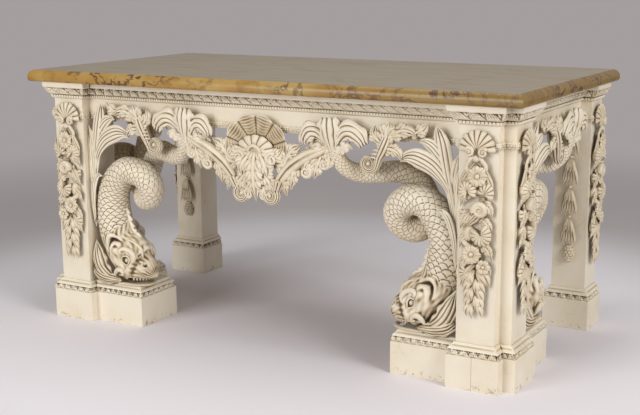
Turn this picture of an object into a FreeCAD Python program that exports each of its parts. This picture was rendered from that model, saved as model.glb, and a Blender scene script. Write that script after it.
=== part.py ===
"""A pier table: a marble slab laid on a carved and painted wooden frame.

Millimetres, +Z up, +X along the front, the front towards -Y. The origin is on the floor below
the middle of the slab. Four dolphins stand beside the front legs, two on the front and one on
each side; their tails run along the rails and end in leaf fins.
"""

import FreeCAD, Part
import math
import operator
import os
from types import SimpleNamespace

import Sketcher
from FreeCAD import Placement, Rotation, Vector

# Driving dimensions, in millimetres
DRIVING_SIZES = {
    # Slab
    "table_height": 880,
    "slab_length": 1804,
    "slab_depth": 934,
    "slab_thickness": 40,
    "slab_top_round": 24,
    "slab_under_round": 9,
    # Frame and rails
    "frame_length": 1714,
    "frame_depth": 845,
    "rail_height": 126,
    "rail_thickness": 36,
    "rail_setback": 36.5,
    "back_rail_inset": 8,
    "tenon_length": 60,
    "tenon_thickness": 14,
    "tenon_shoulder": 13,
    "joint_clearance": 0.15,
    "peg_diameter": 10,
    "peg_past_tenon": 14,
    "bearer_width": 62,
    "bearer_height": 48,
    "bearer_housing": 12,
    "glue_block_side": 52,
    "glue_block_height": 84,
    # Legs
    "leg_width": 159,
    "leg_notch": 38,
    "back_leg_width": 118,
    "back_leg_depth": 111,
    "leg_tenon_diameter": 46,
    "leg_tenon_length": 62,
    # Plinths
    "plinth_height": 102,
    "plinth_projection": 22,
    "base_moulding_height": 37,
    "dolphin_plinth_length": 197,
    "dolphin_plinth_depth": 200,
    "dolphin_plinth_setback": 30,
    "dowel_diameter": 12,
    "dowel_length": 60,
    # Cornice and lower band
    "cornice_height": 57,
    "cornice_projection": 32,
    "band_height": 22,
    "band_projection": 9,
    # Carvings
    "dolphin_depth": 150,
    "dolphin_girth": 70,
    "carving_relief": 28,
    "reed_relief": 15,
    "volute_radius": 30,
    "shell_radius": 116,
    "pendant_width": 62,
    "drop_width": 92,
    "drop_relief": 30,
    "drop_stem_width": 18,
    "drop_stem_relief": 8,
    "screw_diameter": 5,
    "screw_bite": 14,
    "cut_overrun": 5,
}

SAME_LEVEL = 0.0001

doc = FreeCAD.newDocument("PierTable")
sheet = doc.addObject("Spreadsheet::Sheet", "Sizes")
for row, (alias, number) in enumerate(DRIVING_SIZES.items(), start=1):
    sheet.set(f"A{row}", alias)
    sheet.set(f"B{row}", str(number))
    sheet.setAlias(f"B{row}", alias)
doc.recompute()

ARITHMETIC = {"+": operator.add, "-": operator.sub, "*": operator.mul, "/": operator.truediv}


class Size:
    """A length that carries both its value and the sheet formula that gives it."""

    def __init__(self, value, formula):
        self.value = float(value)
        self.formula = formula

    def __float__(self):
        return self.value

    def __add__(self, other):
        return worked_out(self, "+", other)

    def __radd__(self, other):
        return worked_out(other, "+", self)

    def __sub__(self, other):
        return worked_out(self, "-", other)

    def __rsub__(self, other):
        return worked_out(other, "-", self)

    def __mul__(self, other):
        return worked_out(self, "*", other)

    def __rmul__(self, other):
        return worked_out(other, "*", self)

    def __truediv__(self, other):
        return worked_out(self, "/", other)

    def __neg__(self):
        return worked_out(0, "-", self)


def as_size(amount):
    """A plain number as a Size; a Size as it is."""
    if isinstance(amount, Size):
        return amount
    return Size(amount, f"({amount})")


def worked_out(left, sign, right):
    """The Size that two amounts give."""
    left = as_size(left)
    right = as_size(right)
    value = ARITHMETIC[sign](left.value, right.value)
    return Size(value, f"({left.formula} {sign} {right.formula})")


size = SimpleNamespace(
    **{alias: Size(sheet.get(alias), f"Sizes.{alias}") for alias in DRIVING_SIZES}
)

# Levels and planes that several pieces share
floor_level = as_size(0)
centre_line = as_size(0)
half_length = size.frame_length / 2
half_depth = size.frame_depth / 2
frame_top = size.table_height - size.slab_thickness
rail_bottom = frame_top - size.rail_height
cornice_bottom = frame_top - size.cornice_height
foot_top = size.plinth_height + size.base_moulding_height
front_face = -half_depth
rail_face = front_face + size.rail_setback
rail_back = rail_face + size.rail_thickness
side_rail_face = half_length - size.rail_setback
side_rail_back = side_rail_face - size.rail_thickness
leg_inner_x = half_length - size.leg_width
leg_inner_y = front_face + size.leg_width
notch_x = half_length - size.leg_notch
notch_y = front_face + size.leg_notch
back_leg_inner_x = half_length - size.back_leg_width
back_leg_front = half_depth - size.back_leg_depth
back_rail_back = half_depth - size.back_rail_inset
back_rail_front = back_rail_back - size.rail_thickness
screw_level = rail_bottom + size.band_height / 2
carving_front = size.band_projection + size.carving_relief
FRONT_REACH_SHARE = 0.616
SIDE_REACH_SHARE = 0.748
front_reach = FRONT_REACH_SHARE * leg_inner_x
side_reach = SIDE_REACH_SHARE * (back_leg_front - leg_inner_y)
SIDES = (("left", -1), ("right", 1))

nodes = []


def point(x, y, z):
    """A vector from lengths."""
    return Vector(float(x), float(y), float(z))


def named(thing, label):
    """Makes an object one of the table's pieces, under its name."""
    thing.Label = label
    nodes.append(thing)
    return thing


def bind(thing, **amounts):
    """Ties properties of an object to the sheet."""
    for name, amount in amounts.items():
        setattr(thing, name, float(amount))
        thing.setExpression(name, as_size(amount).formula)


def put(thing, corner, turn=None):
    """Sets an object at a corner that follows the sheet."""
    thing.Placement = Placement(point(*corner), turn or Rotation())
    for axis, amount in zip("xyz", corner):
        thing.setExpression(f"Placement.Base.{axis}", as_size(amount).formula)


def block(name, x_pair, y_pair, z_pair):
    """A box between two limits on each axis, given in either order."""
    limits = [sorted(pair, key=float) for pair in (x_pair, y_pair, z_pair)]
    thing = doc.addObject("Part::Box", name)
    length, width, height = [high - low for low, high in limits]
    bind(thing, Length=length, Width=width, Height=height)
    put(thing, [low for low, high in limits])
    return thing


def rod(name, start, axis, diameter, length):
    """A cylinder from a start point along an axis."""
    thing = doc.addObject("Part::Cylinder", name)
    bind(thing, Radius=diameter / 2, Height=length)
    put(thing, start, Rotation(Vector(0, 0, 1), axis))
    return thing


def gathered(name, things):
    """Several solids kept apart in one object."""
    thing = doc.addObject("Part::Compound", name)
    thing.Links = things
    return thing


def joined(name, things):
    """Several solids made one."""
    thing = doc.addObject("Part::MultiFuse", name)
    thing.Shapes = things
    return thing


def cut_away(name, base, tools):
    """A solid with tools cut out of it."""
    thing = doc.addObject("Part::Cut", name)
    thing.Base = base
    thing.Tool = gathered(f"{name}_tools", tools)
    return thing


def padded(name, corners, low, high):
    """A body padded upwards from a closed outline, between two levels."""
    body = doc.addObject("PartDesign::Body", name)
    sketch = body.newObject("Sketcher::SketchObject", f"{name}_outline")
    plane = next(item for item in body.Origin.OriginFeatures if item.Role == "XY_Plane")
    sketch.AttachmentSupport = [(plane, "")]
    sketch.MapMode = "FlatFace"
    sketch.setExpression("AttachmentOffset.Base.z", as_size(low).formula)
    spots = [point(x, y, 0) for x, y in corners]
    count = len(spots)
    for number in range(count):
        sketch.addGeometry(Part.LineSegment(spots[number], spots[(number + 1) % count]))
    for number in range(count):
        sketch.addConstraint(Sketcher.Constraint("Coincident", number, 2, (number + 1) % count, 1))
    for number, corner in enumerate(corners):
        for kind, amount in zip(("DistanceX", "DistanceY"), corner):
            index = sketch.addConstraint(Sketcher.Constraint(kind, -1, 1, number, 1, float(amount)))
            sketch.setExpression(f"Constraints[{index}]", as_size(amount).formula)
    pad = body.newObject("PartDesign::Pad", f"{name}_pad")
    pad.Profile = sketch
    bind(pad, Length=high - low)
    return body


def shaped(name, solids):
    """A piece whose solids are worked out here, as one object."""
    thing = doc.addObject("Part::Feature", name)
    thing.Shape = solids[0] if len(solids) == 1 else Part.makeCompound(solids)
    thing.Placement = Placement()
    return thing


# Marble slab: a plain rectangle with a thumbnail edge, widest low down
slab_half_length = size.slab_length / 2
slab_half_depth = size.slab_depth / 2
slab_corners = [
    (-slab_half_length, -slab_half_depth),
    (slab_half_length, -slab_half_depth),
    (slab_half_length, slab_half_depth),
    (-slab_half_length, slab_half_depth),
]
slab = padded("Slab", slab_corners, frame_top, size.table_height)
doc.recompute()


def level_edges(shape, level):
    """Names of a shape's edges that lie at one height."""
    found = []
    for number, edge in enumerate(shape.Edges, start=1):
        heights = (edge.BoundBox.ZMin, edge.BoundBox.ZMax)
        if all(math.isclose(height, float(level), abs_tol=SAME_LEVEL) for height in heights):
            found.append(f"Edge{number}")
    return found


for name, level, radius in (
    ("top", size.table_height, size.slab_top_round),
    ("under", frame_top, size.slab_under_round),
):
    base = slab.Tip
    rounding = slab.newObject("PartDesign::Fillet", f"Slab_{name}_round")
    rounding.Base = (base, level_edges(base.Shape, level))
    bind(rounding, Radius=radius)
    doc.recompute()
named(slab, "marble_slab")

# Rails, pegs, bearers: the frame's joinery
tenon_low = rail_bottom + size.tenon_shoulder
tenon_high = frame_top - size.tenon_shoulder
tenon_half = size.tenon_thickness / 2
peg_hole = size.peg_diameter + 2 * size.joint_clearance
FRONT_PEG_SHARES = (0.26, 0.74)
SIDE_PEG_SHARES = (0.42, 0.58)
BEARER_SHARES = (-0.22, 0.22)
pegs = []
leg_cuts = {"front_left": [], "front_right": [], "back_left": [], "back_right": []}


def tenon_along_x(name, face, middle, way):
    """A tenon that runs past a leg's face along X, and the mortise with room for it."""
    low, high = middle - tenon_half, middle + tenon_half
    end = face + way * size.tenon_length
    tenon = block(f"{name}_tenon", (face, end), (low, high), (tenon_low, tenon_high))
    room = size.joint_clearance
    mouth = face - way * size.cut_overrun
    mortise = block(
        f"{name}_mortise",
        (mouth, end + way * room),
        (low - room, high + room),
        (tenon_low - room, tenon_high + room),
    )
    return tenon, mortise


def tenon_along_y(name, face, middle, way):
    """A tenon that runs past a leg's face along Y, and the mortise with room for it."""
    low, high = middle - tenon_half, middle + tenon_half
    end = face + way * size.tenon_length
    tenon = block(f"{name}_tenon", (low, high), (face, end), (tenon_low, tenon_high))
    room = size.joint_clearance
    mouth = face - way * size.cut_overrun
    mortise = block(
        f"{name}_mortise",
        (low - room, high + room),
        (mouth, end + way * room),
        (tenon_low - room, tenon_high + room),
    )
    return tenon, mortise


def peg_through(name, start, axis, length):
    """A peg driven from a leg's hidden face, and the hole it fills."""
    pegs.append(rod(f"{name}_peg", start, axis, size.peg_diameter, length))
    return rod(f"{name}_peg_hole", start, axis, peg_hole, length + size.joint_clearance)


rail_cuts = {"front": [], "back": [], "left": [], "right": []}
rail_solids = {}

front_middle = rail_face + size.rail_thickness / 2
back_middle = back_rail_back - size.rail_thickness / 2
side_middle = side_rail_face - size.rail_thickness / 2
front_peg_length = (leg_inner_y - front_middle) + tenon_half + size.peg_past_tenon
back_peg_length = (back_middle - back_leg_front) + tenon_half + size.peg_past_tenon
front_solids = [
    block("Front_rail_board", (-leg_inner_x, leg_inner_x), (rail_face, rail_back), (rail_bottom, frame_top))
]
back_solids = [
    block(
        "Back_rail_board",
        (-back_leg_inner_x, back_leg_inner_x),
        (back_rail_front, back_rail_back),
        (rail_bottom, frame_top),
    )
]
for side, way in SIDES:
    tenon, mortise = tenon_along_x(f"Front_{side}", way * leg_inner_x, front_middle, way)
    front_solids.append(tenon)
    leg_cuts[f"front_{side}"].append(mortise)
    tenon, mortise = tenon_along_x(f"Back_{side}", way * back_leg_inner_x, back_middle, way)
    back_solids.append(tenon)
    leg_cuts[f"back_{side}"].append(mortise)
    for number, share in enumerate(FRONT_PEG_SHARES, start=1):
        level = rail_bottom + share * size.rail_height
        front_spot = (way * (leg_inner_x + size.tenon_length / 2), leg_inner_y, level)
        hole = peg_through(f"Front_{side}_{number}", front_spot, Vector(0, -1, 0), front_peg_length)
        leg_cuts[f"front_{side}"].append(hole)
        rail_cuts["front"].append(hole)
        back_spot = (way * (back_leg_inner_x + size.tenon_length / 2), back_leg_front, level)
        hole = peg_through(f"Back_{side}_{number}", back_spot, Vector(0, 1, 0), back_peg_length)
        leg_cuts[f"back_{side}"].append(hole)
        rail_cuts["back"].append(hole)
rail_solids["front"] = joined("Front_rail_tenoned", front_solids)
rail_solids["back"] = joined("Back_rail_tenoned", back_solids)

for side, way in SIDES:
    board = block(
        f"Side_{side}_board",
        (way * side_rail_face, way * side_rail_back),
        (leg_inner_y, back_leg_front),
        (rail_bottom, frame_top),
    )
    middle = way * side_middle
    front_tenon, front_mortise = tenon_along_y(f"Side_{side}_front", leg_inner_y, middle, -1)
    back_tenon, back_mortise = tenon_along_y(f"Side_{side}_back", back_leg_front, middle, 1)
    leg_cuts[f"front_{side}"].append(front_mortise)
    leg_cuts[f"back_{side}"].append(back_mortise)
    rail_solids[side] = joined(f"Side_{side}_tenoned", [board, front_tenon, back_tenon])
    inwards = Vector(way, 0, 0)
    for number, share in enumerate(SIDE_PEG_SHARES, start=1):
        level = rail_bottom + share * size.rail_height
        for end, face, leg_face, reach in (
            ("front", leg_inner_y, leg_inner_x, -1),
            ("back", back_leg_front, back_leg_inner_x, 1),
        ):
            length = (side_middle - leg_face) + tenon_half + size.peg_past_tenon
            spot = (way * leg_face, face + reach * size.tenon_length / 2, level)
            hole = peg_through(f"Side_{side}_{end}_{number}", spot, inwards, length)
            leg_cuts[f"{end}_{side}"].append(hole)
            rail_cuts[side].append(hole)
named(gathered("Pegs", pegs), "tenon_pegs")

bearers = []
bearer_low = frame_top - size.bearer_height
for number, share in enumerate(BEARER_SHARES, start=1):
    middle = share * size.frame_length
    low, high = middle - size.bearer_width / 2, middle + size.bearer_width / 2
    front_end = rail_back - size.bearer_housing
    back_end = back_rail_front + size.bearer_housing
    bearers.append(block(f"Bearer_{number}", (low, high), (front_end, back_end), (bearer_low, frame_top)))
    room = size.joint_clearance
    past_top = frame_top + size.cut_overrun
    wide = (low - room, high + room)
    tall = (bearer_low - room, past_top)
    front_slot = (front_end - room, rail_back + size.cut_overrun)
    back_slot = (back_rail_front - size.cut_overrun, back_end + room)
    rail_cuts["front"].append(block(f"Front_housing_{number}", wide, front_slot, tall))
    rail_cuts["back"].append(block(f"Back_housing_{number}", wide, back_slot, tall))
named(gathered("Bearers", bearers), "cross_bearers")


def glue_block(x, y, x_way, y_way):
    """A three-cornered block glued into the angle between a rail and a leg."""
    top = frame_top - size.tenon_shoulder
    bottom = top - size.glue_block_height
    corner = point(x, y, bottom)
    along_x = corner + Vector(x_way * float(size.glue_block_side), 0, 0)
    along_y = corner + Vector(0, y_way * float(size.glue_block_side), 0)
    outline = Part.makePolygon([corner, along_x, along_y, corner])
    return Part.Face(outline).extrude(point(0, 0, size.glue_block_height))


glue_blocks = []
for side, way in SIDES:
    glue_blocks.append(glue_block(way * leg_inner_x, rail_back, -way, 1))
    glue_blocks.append(glue_block(way * side_rail_back, leg_inner_y, -way, 1))
    glue_blocks.append(glue_block(way * side_rail_back, back_leg_front, -way, -1))
    glue_blocks.append(glue_block(way * back_leg_inner_x, back_rail_front, -way, -1))
named(shaped("Glue_blocks", glue_blocks), "corner_blocks")


# Stands: where each dolphin group is set against a leg and a rail
class Stand:
    """One dolphin's place. Along runs from the leg down the rail, out runs away from the rail's face."""

    def __init__(self, name, rail, reach, corner, along, out, turn, mirrored):
        self.name = name
        self.rail = rail
        self.reach = reach
        self.corner = corner
        self.along = along
        self.out = out
        self.turn = turn
        self.mirrored = mirrored

    def place(self, along, out, level):
        """A place from lengths along the rail and out of it, at a level."""
        across = [
            corner + run * along + aside * out
            for corner, run, aside in zip(self.corner, self.along, self.out)
        ]
        return across[0], across[1], level


stands = []
for side, way in SIDES:
    corner = (way * leg_inner_x, rail_face, floor_level)
    along = Vector(-way, 0, 0)
    stands.append(Stand(f"front_{side}", "front", front_reach, corner, along, Vector(0, -1, 0), 0, way > 0))
for side, way in SIDES:
    corner = (way * side_rail_face, leg_inner_y, floor_level)
    along = Vector(0, 1, 0)
    stands.append(Stand(side, side, side_reach, corner, along, Vector(way, 0, 0), way * 90, way < 0))

# Screws: each goes from inside a rail, through the lower band, into a carving
SCREW_ALONG_SHARES = (0.155, 0.53, 0.985)
SHELL_SCREW_SHARES = (-0.35, 0.35)
screw_length = size.rail_thickness + size.band_projection + size.screw_bite
hole_diameter = size.screw_diameter + 2 * size.joint_clearance
hole_length = screw_length + size.joint_clearance
screw_places = []
for stand in stands:
    for share in SCREW_ALONG_SHARES:
        start = stand.place(share * stand.reach, -size.rail_thickness, screw_level)
        screw_places.append((stand.rail, start, stand.out))
for share in SHELL_SCREW_SHARES:
    screw_places.append(("front", (share * size.shell_radius, rail_back, screw_level), Vector(0, -1, 0)))
screws = []
screw_holes = []
for number, (rail, start, out) in enumerate(screw_places, start=1):
    screws.append(rod(f"Screw_{number}", start, out, size.screw_diameter, screw_length))
    rail_cuts[rail].append(rod(f"Screw_hole_{number}", start, out, hole_diameter, hole_length))
    screw_holes.append(Part.makeCylinder(float(hole_diameter / 2), float(hole_length), point(*start), out))
named(gathered("Screws", screws), "carving_screws")

for rail in ("front", "back", "left", "right"):
    named(cut_away(f"Rail_{rail}", rail_solids[rail], rail_cuts[rail]), f"{rail}_rail")

# Legs: square posts, the front pair notched at the outer corner, with a stub tenon below
leg_tenon_low = size.plinth_height - size.leg_tenon_length
leg_tenons = {}
for side, way in SIDES:
    front_outline = [
        (way * leg_inner_x, front_face),
        (way * notch_x, front_face),
        (way * notch_x, notch_y),
        (way * half_length, notch_y),
        (way * half_length, leg_inner_y),
        (way * leg_inner_x, leg_inner_y),
    ]
    back_outline = [
        (way * back_leg_inner_x, back_leg_front),
        (way * half_length, back_leg_front),
        (way * half_length, half_depth),
        (way * back_leg_inner_x, half_depth),
    ]
    front_spot = (way * (half_length - size.leg_width / 2), front_face + size.leg_width / 2)
    back_spot = (way * (half_length - size.back_leg_width / 2), half_depth - size.back_leg_depth / 2)
    for place, outline, spot in (
        (f"front_{side}", front_outline, front_spot),
        (f"back_{side}", back_outline, back_spot),
    ):
        post = padded(f"Post_{place}", outline, size.plinth_height, frame_top)
        start = (*spot, leg_tenon_low)
        long_tenon = size.leg_tenon_length + size.cut_overrun
        tenon = rod(f"Leg_tenon_{place}", start, Vector(0, 0, 1), size.leg_tenon_diameter, long_tenon)
        whole = joined(f"Leg_whole_{place}", [post, tenon])
        named(cut_away(f"Leg_{place}", whole, leg_cuts[place]), f"{place}_leg")
        room = size.joint_clearance
        low_start = (*spot, leg_tenon_low - room)
        wide = size.leg_tenon_diameter + 2 * room
        leg_tenons[place] = rod(f"Leg_socket_{place}", low_start, Vector(0, 0, 1), wide, long_tenon)

# Plinths: a block under each leg, and a stepped block under each dolphin
plinth_outer_x = half_length + size.plinth_projection
plinth_inner_x = leg_inner_x - size.plinth_projection
plinth_front = front_face - size.plinth_projection
plinth_back = leg_inner_y + size.plinth_projection
plinth_notch_x = notch_x + size.plinth_projection
plinth_notch_y = notch_y - size.plinth_projection
back_plinth_inner_x = back_leg_inner_x - size.plinth_projection
back_plinth_front = back_leg_front - size.plinth_projection
dolphin_plinth_front = plinth_front + size.dolphin_plinth_setback
dolphin_plinth_back = dolphin_plinth_front + size.dolphin_plinth_depth
dolphin_plinth_end = plinth_inner_x - size.dolphin_plinth_length
side_plinth_outer = plinth_outer_x - size.dolphin_plinth_setback
side_plinth_inner = side_plinth_outer - size.dolphin_plinth_depth
side_plinth_end = plinth_back + size.dolphin_plinth_length
step = size.plinth_projection
DOWEL_HEIGHT_SHARES = (0.35, 0.65)
DOWEL_PLACE_SHARE = 0.4
DOLPHIN_DOWEL_SHARES = (0.785, -0.26)
dolphin_dowel_along = DOLPHIN_DOWEL_SHARES[0] * size.dolphin_plinth_length
dolphin_dowel_out = DOLPHIN_DOWEL_SHARES[1] * size.dolphin_depth
dowels = []
plinth_cuts = {place: [socket] for place, socket in leg_tenons.items()}
dolphin_plinth_cuts = {stand.name: [] for stand in stands}


def dowel(name, middle, axis):
    """A dowel centred on a joint, and the hole it fills."""
    back = [amount - part * size.dowel_length / 2 for amount, part in zip(middle, axis)]
    dowels.append(rod(f"{name}_dowel", back, axis, size.dowel_diameter, size.dowel_length))
    room = size.joint_clearance
    far_back = [amount - part * room for amount, part in zip(back, axis)]
    wide = size.dowel_diameter + 2 * room
    return rod(f"{name}_dowel_hole", far_back, axis, wide, size.dowel_length + 2 * room)


for side, way in SIDES:
    for number, share in enumerate(DOWEL_HEIGHT_SHARES, start=1):
        level = share * size.plinth_height
        front_y = dolphin_plinth_front + DOWEL_PLACE_SHARE * size.dolphin_plinth_depth
        hole = dowel(f"Front_{side}_{number}", (way * plinth_inner_x, front_y, level), Vector(-way, 0, 0))
        plinth_cuts[f"front_{side}"].append(hole)
        dolphin_plinth_cuts[f"front_{side}"].append(hole)
        side_x = side_plinth_outer - DOWEL_PLACE_SHARE * size.dolphin_plinth_depth
        hole = dowel(f"Side_{side}_{number}", (way * side_x, plinth_back, level), Vector(0, 1, 0))
        plinth_cuts[f"front_{side}"].append(hole)
        dolphin_plinth_cuts[side].append(hole)
for stand in stands:
    middle = stand.place(dolphin_dowel_along, dolphin_dowel_out, foot_top)
    hole = dowel(f"Dolphin_{stand.name}", middle, Vector(0, 0, 1))
    dolphin_plinth_cuts[stand.name].append(hole)
named(gathered("Dowels", dowels), "plinth_dowels")

for side, way in SIDES:
    front_outline = [
        (way * plinth_inner_x, plinth_front),
        (way * plinth_notch_x, plinth_front),
        (way * plinth_notch_x, plinth_notch_y),
        (way * plinth_outer_x, plinth_notch_y),
        (way * plinth_outer_x, plinth_back),
        (way * plinth_inner_x, plinth_back),
    ]
    back_outline = [
        (way * back_plinth_inner_x, back_plinth_front),
        (way * plinth_outer_x, back_plinth_front),
        (way * plinth_outer_x, half_depth),
        (way * back_plinth_inner_x, half_depth),
    ]
    for place, outline in ((f"front_{side}", front_outline), (f"back_{side}", back_outline)):
        base = padded(f"Plinth_block_{place}", outline, floor_level, size.plinth_height)
        named(cut_away(f"Plinth_{place}", base, plinth_cuts[place]), f"{place}_plinth")

    front_low = block(
        f"Dolphin_plinth_low_{side}",
        (way * plinth_inner_x, way * dolphin_plinth_end),
        (dolphin_plinth_front, dolphin_plinth_back),
        (floor_level, size.plinth_height),
    )
    front_high = block(
        f"Dolphin_plinth_high_{side}",
        (way * leg_inner_x, way * (dolphin_plinth_end + step)),
        (dolphin_plinth_front + step, dolphin_plinth_back - step),
        (size.plinth_height, foot_top),
    )
    front_stepped = joined(f"Dolphin_plinth_front_{side}", [front_low, front_high])
    front_cuts = dolphin_plinth_cuts[f"front_{side}"]
    named(cut_away(f"Dolphin_front_{side}", front_stepped, front_cuts), f"front_{side}_dolphin_plinth")

    side_low = block(
        f"Side_plinth_low_{side}",
        (way * side_plinth_outer, way * side_plinth_inner),
        (plinth_back, side_plinth_end),
        (floor_level, size.plinth_height),
    )
    side_high = block(
        f"Side_plinth_high_{side}",
        (way * (side_plinth_outer - step), way * (side_plinth_inner + step)),
        (leg_inner_y, side_plinth_end - step),
        (size.plinth_height, foot_top),
    )
    side_stepped = joined(f"Side_plinth_stepped_{side}", [side_low, side_high])
    side_cuts = [*dolphin_plinth_cuts[side], front_low, front_high]
    named(cut_away(f"Dolphin_side_{side}", side_stepped, side_cuts), f"{side}_dolphin_plinth")

# Mouldings: mitred strips run along a path in plan, each strip a loft up its profile
CORNICE_PROFILE_SHARES = [
    (0.0, 0.12),
    (0.06, 0.26),
    (0.17, 0.28),
    (0.24, 0.16),
    (0.34, 0.30),
    (0.50, 0.62),
    (0.64, 0.76),
    (0.68, 0.92),
    (0.97, 0.96),
    (1.0, 1.0),
]
BAND_PROFILE_SHARES = [(0.0, 0.35), (0.12, 0.75), (0.5, 1.0), (0.85, 0.9), (1.0, 0.45)]
BASE_PROFILE_SHARES = [(0.0, 1.0), (0.14, 1.0), (0.34, 0.86), (0.62, 0.72), (0.72, 0.5), (1.0, 0.2)]


def mitred_strips(path, way, profile_shares, low, height, projection, closed=False, ends=(None, None)):
    """Strips along a plan path whose outer side is on the right of its run, or on the left for way -1."""
    spots = [point(x, y, 0) for x, y in path]
    count = len(spots) if closed else len(spots) - 1
    runs = []
    normals = []
    for number in range(count):
        run = spots[(number + 1) % len(spots)] - spots[number]
        run.normalize()
        runs.append(run)
        normals.append(Vector(run.y, -run.x, 0) * way)
    strips = []
    for number in range(count):
        before = normals[number - 1] if closed or number else ends[0]
        last = number == count - 1
        after = normals[(number + 1) % count] if closed or not last else ends[1]
        glue_line = runs[number] * float(size.joint_clearance)
        start = spots[number] + (glue_line if before else Vector())
        finish = spots[(number + 1) % len(spots)] - (glue_line if after else Vector())
        start_mitre = normals[number] + (before or Vector())
        finish_mitre = normals[number] + (after or Vector())
        sections = []
        for up_share, out_share in profile_shares:
            lift = Vector(0, 0, float(low + up_share * height))
            out = float(out_share * projection)
            corners = [start, finish, finish + finish_mitre * out, start + start_mitre * out]
            corners = [corner + lift for corner in corners]
            sections.append(Part.makePolygon([*corners, corners[0]]))
        strips.append(Part.makeLoft(sections, True, True))
    return strips


def without(solids, tools):
    """Solids with every tool that touches them cut away."""
    left = []
    for solid in solids:
        near = [tool for tool in tools if solid.BoundBox.intersect(tool.BoundBox)]
        left.extend(solid.cut(near).Solids if near else [solid])
    return left


front_path = [
    (-notch_x, notch_y),
    (-notch_x, front_face),
    (-leg_inner_x, front_face),
    (-leg_inner_x, rail_face),
    (leg_inner_x, rail_face),
    (leg_inner_x, front_face),
    (notch_x, front_face),
    (notch_x, notch_y),
]
front_ends = (Vector(0, -1, 0), Vector(0, -1, 0))
cornice = (CORNICE_PROFILE_SHARES, cornice_bottom, size.cornice_height, size.cornice_projection)
band = (BAND_PROFILE_SHARES, rail_bottom, size.band_height, size.band_projection)
for label, moulding in (("cornice", cornice), ("band", band)):
    strips = mitred_strips(front_path, 1, *moulding, ends=front_ends)
    named(shaped(f"Front_{label}", without(strips, screw_holes)), f"front_{label}")
    for side, way in SIDES:
        side_path = [
            (way * notch_x, notch_y),
            (way * half_length, notch_y),
            (way * half_length, leg_inner_y),
            (way * side_rail_face, leg_inner_y),
            (way * side_rail_face, back_leg_front),
            (way * half_length, back_leg_front),
            (way * half_length, half_depth),
        ]
        strips = mitred_strips(side_path, way, *moulding, ends=(Vector(way, 0, 0), None))
        named(shaped(f"{side}_{label}", without(strips, screw_holes)), f"{side}_{label}")

base = (BASE_PROFILE_SHARES, size.plinth_height, size.base_moulding_height, size.plinth_projection)
for side, way in SIDES:
    front_ring = [
        (way * notch_x, front_face),
        (way * leg_inner_x, front_face),
        (way * leg_inner_x, dolphin_plinth_front + step),
        (way * (dolphin_plinth_end + step), dolphin_plinth_front + step),
        (way * (dolphin_plinth_end + step), dolphin_plinth_back - step),
        (way * (side_plinth_inner + step), dolphin_plinth_back - step),
        (way * (side_plinth_inner + step), side_plinth_end - step),
        (way * (side_plinth_outer - step), side_plinth_end - step),
        (way * (side_plinth_outer - step), leg_inner_y),
        (way * half_length, leg_inner_y),
        (way * half_length, notch_y),
        (way * notch_x, notch_y),
    ]
    strips = mitred_strips(front_ring, -way, *base, closed=True)
    named(shaped(f"Base_front_{side}", strips), f"front_{side}_base_moulding")
    back_run = [
        (way * half_length, half_depth),
        (way * half_length, back_leg_front),
        (way * back_leg_inner_x, back_leg_front),
        (way * back_leg_inner_x, half_depth),
    ]
    strips = mitred_strips(back_run, -way, *base)
    named(shaped(f"Base_back_{side}", strips), f"back_{side}_base_moulding")


# Carvings: leaves, bosses and ribs in relief, drawn on an upright plane that faces the front
def level_at(share):
    """A level: share 0 is the top of the plinths, 1 the underside of the rails, 2 that of the cornice."""
    if share <= 1:
        return foot_top + share * (rail_bottom - foot_top)
    return rail_bottom + (share - 1) * (cornice_bottom - rail_bottom)


def spot(across, level, out):
    """A point across the plane, at a level, standing out of the plane."""
    return point(across, -out, level)


def leaf(root, tip, left, right, back, front):
    """A leaf from root to tip, bowed to the left and to the right of its middle by shares of its length."""
    start = spot(*root, back)
    end = spot(*tip, back)
    middle = (start + end) / 2
    run = end - start
    aside = Vector(-run.z, 0, run.x)
    left_arc = Part.Arc(start, middle + aside * left, end).toShape()
    right_arc = Part.Arc(end, middle - aside * right, start).toShape()
    face = Part.Face(Part.Wire([left_arc, right_arc]))
    return face.extrude(point(0, back - front, 0))


def disc(centre, radius, back, front):
    """A round boss with flat faces."""
    return Part.makeCylinder(float(radius), float(front - back), spot(*centre, back), Vector(0, -1, 0))


FAN_PLATE_SHARE = 0.86
PETAL_BOW_SHARE = 0.15


def fan(hub, radius, count, lowest, back, front):
    """Petals spread evenly round a hub, from a low angle over the top to the other side, on a plate."""
    across, level = hub
    plate_reach = FAN_PLATE_SHARE * radius
    rim = []
    for degrees in (lowest, 90, 180 - lowest):
        angle = math.radians(degrees)
        rim.append(spot(across + plate_reach * math.cos(angle), level + plate_reach * math.sin(angle), back))
    centre = spot(across, level, back)
    sides = [
        Part.LineSegment(centre, rim[0]).toShape(),
        Part.Arc(*rim).toShape(),
        Part.LineSegment(rim[-1], centre).toShape(),
    ]
    plate = Part.Face(Part.Wire(sides)).extrude(point(0, back - front, 0))
    petals = [plate]
    for number in range(count):
        angle = math.radians(lowest + (180 - 2 * lowest) * number / (count - 1))
        tip = (across + radius * math.cos(angle), level + radius * math.sin(angle))
        petals.append(leaf(hub, tip, PETAL_BOW_SHARE, PETAL_BOW_SHARE, back, front))
    return petals


def one_solid(shapes):
    """Overlapping shapes made one, with the seams between flat faces taken out."""
    return shapes[0].multiFuse(shapes[1:]).removeSplitter()


def in_front(shape, back):
    """The part of a carving that stands in front of its back plane."""
    wide = float(size.slab_length)
    low = Vector(-wide / 2, -float(back), 0)
    wall = Part.makeBox(wide, wide, wide, low)
    return shape.cut(wall)


def leaves(leaf_shares, wide, back, front):
    """Leaves set out by shares of a width across and by level shares."""
    made = []
    for root, tip, left, right in leaf_shares:
        root_spot = (root[0] * wide, level_at(root[1]))
        tip_spot = (tip[0] * wide, level_at(tip[1]))
        made.append(leaf(root_spot, tip_spot, left, right, back, front))
    return made


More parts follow.
